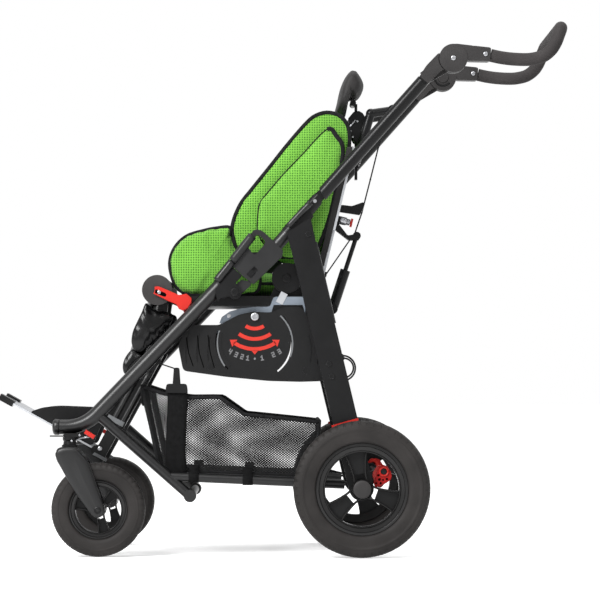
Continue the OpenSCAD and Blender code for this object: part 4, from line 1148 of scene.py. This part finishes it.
# Caster forks: rounded covers and axle caps; wheel hub caps
FORK = ((-482, 216), (-479, 230), (-468, 235.5), (-442, 235.5), (-426, 222), (-413, 204), (-399, 165),
        (-386, 130), (-377, 104), (-380, 92), (-392, 86.5), (-403, 91), (-420, 112), (-439, 139), (-462, 177))
COVER_ROWS = ((1.0, -0.4), (0.985, 1.4), (0.93, 3.2), (0.82, 4.6), (0.6, 5.4), (0.3, 5.7))
SPINE_TOP = Vector((-448, 215))
fork_pts = closed_curve(FORK, 90)
n = len(fork_pts)
faces = bands(len(COVER_ROWS), n) + [lid(len(COVER_ROWS) - 1, n)]
for face_name, way in (("outer", 1), ("inner", -1)):
    verts = []
    for scale, rise in COVER_ROWS:
        for q in fork_pts:
            below = min(0, q.y - SPINE_TOP.y)
            spine = SPINE_TOP + Vector((-0.44 * below, below))
            v = spine + (q - spine) * scale
            verts.append((v.x, CASTER_Y + way * (FORK_HALF + rise), v.y))
    add_pair(f"fork_cover_{face_name}", verts, faces, GLOSS, "caster_{side}")
add_screws("fork_axle", FRONT_AXLE, CASTER_Y + FORK_HALF + 3, 8, 4, SATIN, "caster_{side}",
           0.45)
add_caps("hub_cap", REAR_AXLE, 19.5, 4.0, REAR_Y + 23.8, HUB, "rear_wheel_{side}")

# Brake shoe: a ribbed plate, a ring, and near-black caps on its notches as painted shade
SHOE = ((213, 193), (222, 199), (232, 195), (239, 184), (241, 174), (239, 167), (230, 160), (215, 152),
        (205, 150), (201, 160), (207, 172), (209, 184))
SHOE_BOSS = (224, 184)
NOTCHES = ((212, 176, 2.6), (214, 167, 3.2), (222, 166, 2.2), (230, 168, 2.8), (207, 159, 2.4),
           (217, 159, 2.6))
add_plates("brake_shoe", SHOE, LEG_OUT + 9.05, LEG_OUT + 12.5, DEEP_RED, "brake")
brake_ring = [along(SHOE_BOSS, 15 * k, 9) for k in range(24)]
brake_path = [(x, LEG_OUT + 13, z) for x, z in brake_ring]
add_tubes("brake_ring", brake_path, 2.2, RED, "brake", closed=True, sides=8)
add_caps("brake_boss", SHOE_BOSS, 6.6, 1.2, LEG_OUT + 12.3, BLACK, "brake")
# Near-black caps on the notches: painted shade in them.
for number, (x, z, radius) in enumerate(NOTCHES):
    add_caps(f"brake_notch_{number}", (x, z), radius, 0.8, LEG_OUT + 12.2, PAINTED_SHADE, "brake", 12)

# Sleeve and spring of the latch pin
LATCH_T = 134
sleeve = straight(on_back(LATCH_T, -12), on_back(LATCH_T, -26), 0, 6)
add_tube("latch_sleeve", sleeve, 9.2, STEEL, "back", sides=28)
coil = []
for k in range(61):
    a = 2 * math.pi * k / 12
    base = on_back(LATCH_T + 6.6 * math.cos(a), -26.5 - 7.0 * k / 60)
    coil.append((base[0], 6.6 * math.sin(a), base[1]))
add_tube("latch_spring", coil, 0.9, STEEL, "back", sides=6)

# Tilt cover, crescent and bolt behind each panel, and the panel's slots and grooves
COVER = ((-19, 528), (-14, 545), (49, 545), (56, 520), (30, 520), (0, 525))
CRESCENT = ((-132.9, 504.2), (-127.4, 518.3), (-110.2, 530.5), (-84.9, 537.9), (-54.9, 540.5), (-54.9, 531.4),
            (-87.1, 524.9), (-113.3, 511.8))
SLOT_CENTRE = (-54.5, 460.4)
SLOTS = ((159.8, 216.7), (47.6, -20.7))
GROOVES = (((-204, 474), (-199, 440), (-189, 411)), ((-180, 478), (-176, 440), (-166, 408)),
           ((-157, 479), (-152, 440), (-143, 408)))
PRINT_IN = PANEL_OUT + 0.02
add_plates("tilt_cover", COVER, TILT_PLATE_OUT, TILT_PLATE_OUT + 1.2, BLACK, "seat", 0.3)
add_plates("tilt_crescent", CRESCENT, TILT_PLATE_OUT, TILT_PLATE_OUT + 1.0, BLUE_GREY, "seat",
           0.3)
add_screws("crescent_bolt", (-111.5, 521), TILT_PLATE_OUT + 0.9, 4.5, 0.8, STEEL, "seat")
for number, (a0, a1) in enumerate(SLOTS):
    slot_band = arc_outline(SLOT_CENTRE, 80.4, 83.6, a0, a1)
    add_plates(f"panel_slot_{number}", slot_band, PRINT_IN, PANEL_OUT + 0.4, GREY, "chassis",
               0.1)
# Thin near-black strips along the panel's grooves: painted shade in them.
for number, line in enumerate(GROOVES):
    groove = [(x - 1.1, z) for x, z in line] + [(x + 1.1, z) for x, z in reversed(line)]
    add_plates(f"panel_groove_{number}", groove, PRINT_IN, PANEL_OUT + 0.25, PAINTED_SHADE, "chassis",
               0.05)

# Red band round the foot of each rear leg
LEG_BAND = ((112.5, 277.5), (111.2, 283), (168.6, 299.4), (169.9, 293.9))
add_plates("leg_band", LEG_BAND, LEG_OUT - 0.5, LEG_OUT + 1.2, RED, "chassis", 0.4)

# Rounded front edge of each tube, hinge bracket and leg top, and the rear edge of each leg
RIDGE_Y = TUBE_Y + 18
tube_ridge = straight((-137, 596), (-104, 638), RIDGE_Y)
bracket_ridge = straight((-103, 639), (-60, 694), RIDGE_Y)
leg_ridge = straight((17, 713), (66, 765), LEG_OUT - 3)
leg_edge = straight((77, 680), (118, 504), LEG_OUT - 7)
add_tubes("tube_ridge", tube_ridge, 9.0, GLOSS, "chassis", sides=24)
add_tubes("bracket_ridge", bracket_ridge, 9.8, CASTING, "chassis", sides=24)
add_tubes("leg_ridge", leg_ridge, 6.5, GLOSS, "chassis", sides=24)
add_tubes("leg_edge", leg_edge, 3.4, GLOSS, "chassis", sides=16)

# Ends of the front tubes, caster heads and swivel levers
CAP_ROWS = ((-478, 16.3), (-482, 17.2), (-487, 17.3), (-490, 16.2), (-492, 13.4), (-493.4, 8.6), (-494, 3.0),
            (-494.1, 0.2))
CAP_STEPS = 32
CAP_Z = 279
NECK = ((9.4, 236.8), (17.5, 236.8), (17.5, 240.5), (14.5, 242), (13.5, 249), (15.5, 252), (15.5, 258),
        (9.4, 258))
NECK_X = -454
SADDLE = ((-466, 258), (-468, 263), (-464, 266), (-428, 266), (-424, 262), (-427, 258))
STOP = ((-497, 258.8), (-497, 261.4), (-462, 261.4), (-462, 258.8))
verts = []
for x, radius in CAP_ROWS:
    for k in range(CAP_STEPS):
        a = 2 * math.pi * k / CAP_STEPS
        verts.append((x, TUBE_Y + radius * math.cos(a), CAP_Z + radius * math.sin(a)))
faces = [lid(0, CAP_STEPS), lid(len(CAP_ROWS) - 1, CAP_STEPS)] + bands(len(CAP_ROWS), CAP_STEPS)
add_pair("tube_end", verts, faces, GLOSS, "front_frame", node="front_fittings")
verts = []
faces = []
add_ring(verts, faces, NECK, 40)
placed = [(NECK_X + v[0], CASTER_Y + v[2], v[1]) for v in verts]
for neck in add_pair("caster_neck", placed, faces, BLACK, "front_frame",
                     node="front_fittings"):
    sharpen(neck, 30)
add_plates("caster_saddle", SADDLE, 203, 240, BLACK, "front_frame", 1.0)
add_plates("steering_stop", STOP, 217, 233, BLACK, "front_frame", 0.6)
lever = tilted((-411, 263.5), -33, 12, 4.5)
add_plates("swivel_lever", lever, CASTER_Y - 6, CASTER_Y + 6, RED, "swivel_pin_{side}", 1.6,
           "swivel_lock_{side}")
plunger = straight((-438.2, 254.5), (-412.2, 258.5), CASTER_Y, 4)
add_tubes("swivel_plunger", plunger, 2.2, STEEL, "swivel_pin_{side}", sides=16,
          node="swivel_lock_{side}")
for number, at in enumerate(((-449, 249.5), (-432, 262))):
    add_screws(f"head_screw_{number}", at, CASTER_Y + 14.5, 2.4, 1.6, STEEL, "front_frame")

# Knee clamps: a forked red lever, painted shade in its slot, and its bolt
KNEE_LEVER = ((-273.8, 585), (-265.4, 585.8), (-243.1, 576.6), (-220.8, 566.8), (-204.1, 569.6),
              (-193, 559.9), (-193, 550.1), (-201.3, 537.6), (-211.1, 532), (-220.8, 536.2), (-226.4, 545.9),
              (-248.7, 555.7), (-271, 566.8), (-276.5, 569.6), (-273.8, 575.2))
KNEE_SLOT = ((-272, 579.5), (-251, 571.4), (-248, 567.5), (-250, 563), (-254, 563.2), (-273.5, 571))
CLAMP_BODY = "knee_clamp_{side}"
add_plates("knee_grip", KNEE_LEVER, 163.3, KNEE_OUT, RED, CLAMP_BODY, 1.4, "knee_lever_{side}")
# Near-black plate in the lever's slot: painted shade.
add_plates("knee_slot", KNEE_SLOT, KNEE_OUT - 0.1, KNEE_OUT + 0.2, PAINTED_SHADE, CLAMP_BODY, 0.1)
add_screws("knee_bolt", (-264, 572.6), KNEE_OUT, 4.0, 2.0, STEEL, CLAMP_BODY)

# Foam grip: both arms run into one cross bar
ARM = ((459, 1088.5), (480, 1084), (502, 1081), (528, 1079.5), (549, 1080.5), (572, 1086.5), (590, 1100),
       (601, 1117), (608, 1135))
grip_path = [(x, -TUBE_Y, z) for x, z in ARM]
grip_path += [(611.5, -197, 1144), (613.5, -188, 1149.5), (614.5, -172, 1151.5)]
grip_path += [(615, -120, 1152), (615, 0, 1152)]
grip_path += [(x, -y, z) for x, y, z in reversed(grip_path[:-1])]
foam = add_tube("foam_grip", smooth_path(grip_path), 14.2, FOAM, "push_bar", sides=28)
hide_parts("push_grip")

# Clamp cheeks of the headrest stem
CHEEK = ((152.5, 966), (164, 980), (176.6, 983), (185, 978), (191.4, 968), (191.4, 926), (176, 906),
         (164, 915.7), (154.8, 938.6))
add_plates("stem_cheek", CHEEK, 14, 34, BLACK, "back", 2.0)
for number, at in enumerate(((173, 959), (162.8, 924), (158, 937))):
    add_screws(f"cheek_screw_{number}", at, 33.8, 2.6, 1.4, STEEL, "back")
add_tubes("cheek_rail", straight((151.4, 942), (168.6, 961.5), 36, 4), 1.8, STEEL, "back")

# Twin tubes along each leg rest bar
SHIN = (-275, 440)
SHIN_LEAN = -118.6
for number, n in enumerate((-9.5, 9.5)):
    shin = straight(along(SHIN, SHIN_LEAN, 40, n), along(SHIN, SHIN_LEAN, 196, n), SHIN_Y)
    add_tubes(f"leg_tube_{number}", shin, 7.0, GLOSS, "leg_rest", sides=20)

# Clamp on each leg rest bar, bolt and bracket over the foot hinge
FOOT_BRACKET = ((-413, 217), (-408, 222), (-380, 207), (-383, 201))
leg_clamp = tilted((-361, 291.5), -27, 20, 5.5)
add_plates("leg_clamp", leg_clamp, 114.1, 121, GREY, "leg_rest", 1.2)
add_screws("foot_bolt", (-396.5, 230), FOOT_Y - 0.1, 5, 3, STEEL, "foot_slide")
add_plates("foot_bracket", FOOT_BRACKET, FOOT_Y, FOOT_Y + 3, GREY, "foot_slide", 0.6)

# Creased side lobes of the calf cover
UPPER_LOBE = ((-296, 550), (-305, 529), (-316, 506), (-324, 487), (-327, 467), (-324, 453), (-317, 445),
              (-306, 441), (-295, 448), (-278, 464), (-261, 481), (-245, 498), (-237, 510), (-235, 521),
              (-240, 529), (-257, 533), (-275, 536), (-288, 546))
LOWER_LOBE = ((-324, 449), (-337, 436), (-344, 422), (-346, 408), (-342, 395), (-331, 397), (-317, 411),
              (-306, 425), (-304, 435), (-314, 441))
for lobe_name, outline, middle, y_in, y_out in (("calf_lobe_upper", UPPER_LOBE, (-288, 494), 115, 137.5),
                                                ("calf_lobe_lower", LOWER_LOBE, (-325, 422), 115, 134)):
    verts, faces, seam, seam_start = pad_mesh(outline, middle, (y_out - y_in) * 0.94, 0.5)
    creased = []
    for v in verts:
        p = Vector(((v[0] + 0.45 * v[1]) * 0.062, v[1] * 0.008, v[2] * 0.01))
        fold = 4.4 * noise.noise(p) + 0.7 * noise.noise(p * 2.2 + Vector((3, 9, 2)))
        creased.append((v[0], v[1], v[2] + fold * (0.9 if v[2] > 0 else 0.1) - 1.6))
    y_mid = (y_in + y_out) / 2
    for side, sign in SIDES:
        place = lambda v, s=sign, y=y_mid: (v[0], s * (y + v[2]), v[1])
        add_pad(f"{lobe_name}_{side}", creased, faces, place, VINYL, "leg_rest", "calf_pad")


# Stage and light
def seen_rays(tree):
    """One for rays that show the backdrop: straight from the camera, mirrored or through glass."""
    rays = tree.nodes.new("ShaderNodeLightPath")
    total = rays.outputs["Is Camera Ray"]
    for name in ("Is Glossy Ray", "Is Transmission Ray"):
        total = reckon(tree, "MAXIMUM", total, rays.outputs[name])
    return total


def add_floor(size, colour, glow):
    """A plain pale floor that keeps the shadow."""
    mesh = bpy.data.meshes.new("floor")
    h = size / 2
    mesh.from_pydata([(-h, -h, 0), (h, -h, 0), (h, h, 0), (-h, h, 0)], [], [(0, 1, 2, 3)])
    mat, tree, shader, coords = new_material("floor")
    plug(tree, shader, {
        "Base Color": shades(tree, add_noise(tree, coords, 2, 2), colour, 0.995, 1.0),
        "Roughness": 0.9,
        "Specular IOR Level": 0.1,
        "Emission Color": (1, 1, 1, 1),
        "Emission Strength": span(tree, seen_rays(tree), 0.0, glow),
    })
    mesh.materials.append(mat)
    obj = bpy.data.objects.new("floor", mesh)
    obj.location = (0, 0, -0.001)
    bpy.context.scene.collection.objects.link(obj)


add_floor(60, (0.9, 0.9, 0.9), 0.42)


def add_light(name, at, aim, size, power, long_side=(1, 0, 0)):
    """A soft light aimed at a point, its first size along the long side."""
    data = bpy.data.lights.new(name, "AREA")
    data.shape = "RECTANGLE"
    data.size = size[0]
    data.size_y = size[1]
    data.energy = power
    obj = bpy.data.objects.new(name, data)
    obj.location = at
    back = (Vector(at) - Vector(aim)).normalized()
    first = Vector(long_side)
    first = (first - back * first.dot(back)).normalized()
    obj.rotation_euler = Matrix((first, back.cross(first), back)).transposed().to_euler()
    bpy.context.scene.collection.objects.link(obj)


add_light("key", (0, -3.0, 3.1), (0, 0, 0.5), (5.0, 0.16), 30)
add_light("sheen", (-2.3, -3.0, 2.85), (0, 0, 0.65), (2.2, 1.3), 255, (0.69, 0, 0.72))
add_light("top", (0.3, 0.6, 4.0), (0, 0, 0.5), (3.0, 2.4), 46)
add_light("rim", (3.2, 1.4, 1.9), (0.1, 0, 0.6), (1.0, 2.0), 22)

world = bpy.data.worlds.new("world")
bpy.context.scene.world = world
world.use_nodes = True
sky = world.node_tree
heading = sky.nodes.new("ShaderNodeTexCoord")
upward = add_node(sky, "SeparateXYZ", {"Vector": heading.outputs["Generated"]}, "Z")
rise = {"Value": upward, "From Min": 0.05, "From Max": 0.75, "To Min": 0.22, "To Max": 0.8}
lift = add_node(sky, "MapRange", rise, "Result", interpolation_type="SMOOTHSTEP")
white = add_node(sky, "Mix", {"Factor": seen_rays(sky), "A": lift, "B": 1.0}, "Result")
plug(sky, sky.nodes["Background"], {"Color": (1, 1, 1, 1), "Strength": white})

bpy.context.scene.view_settings.view_transform = "Standard"
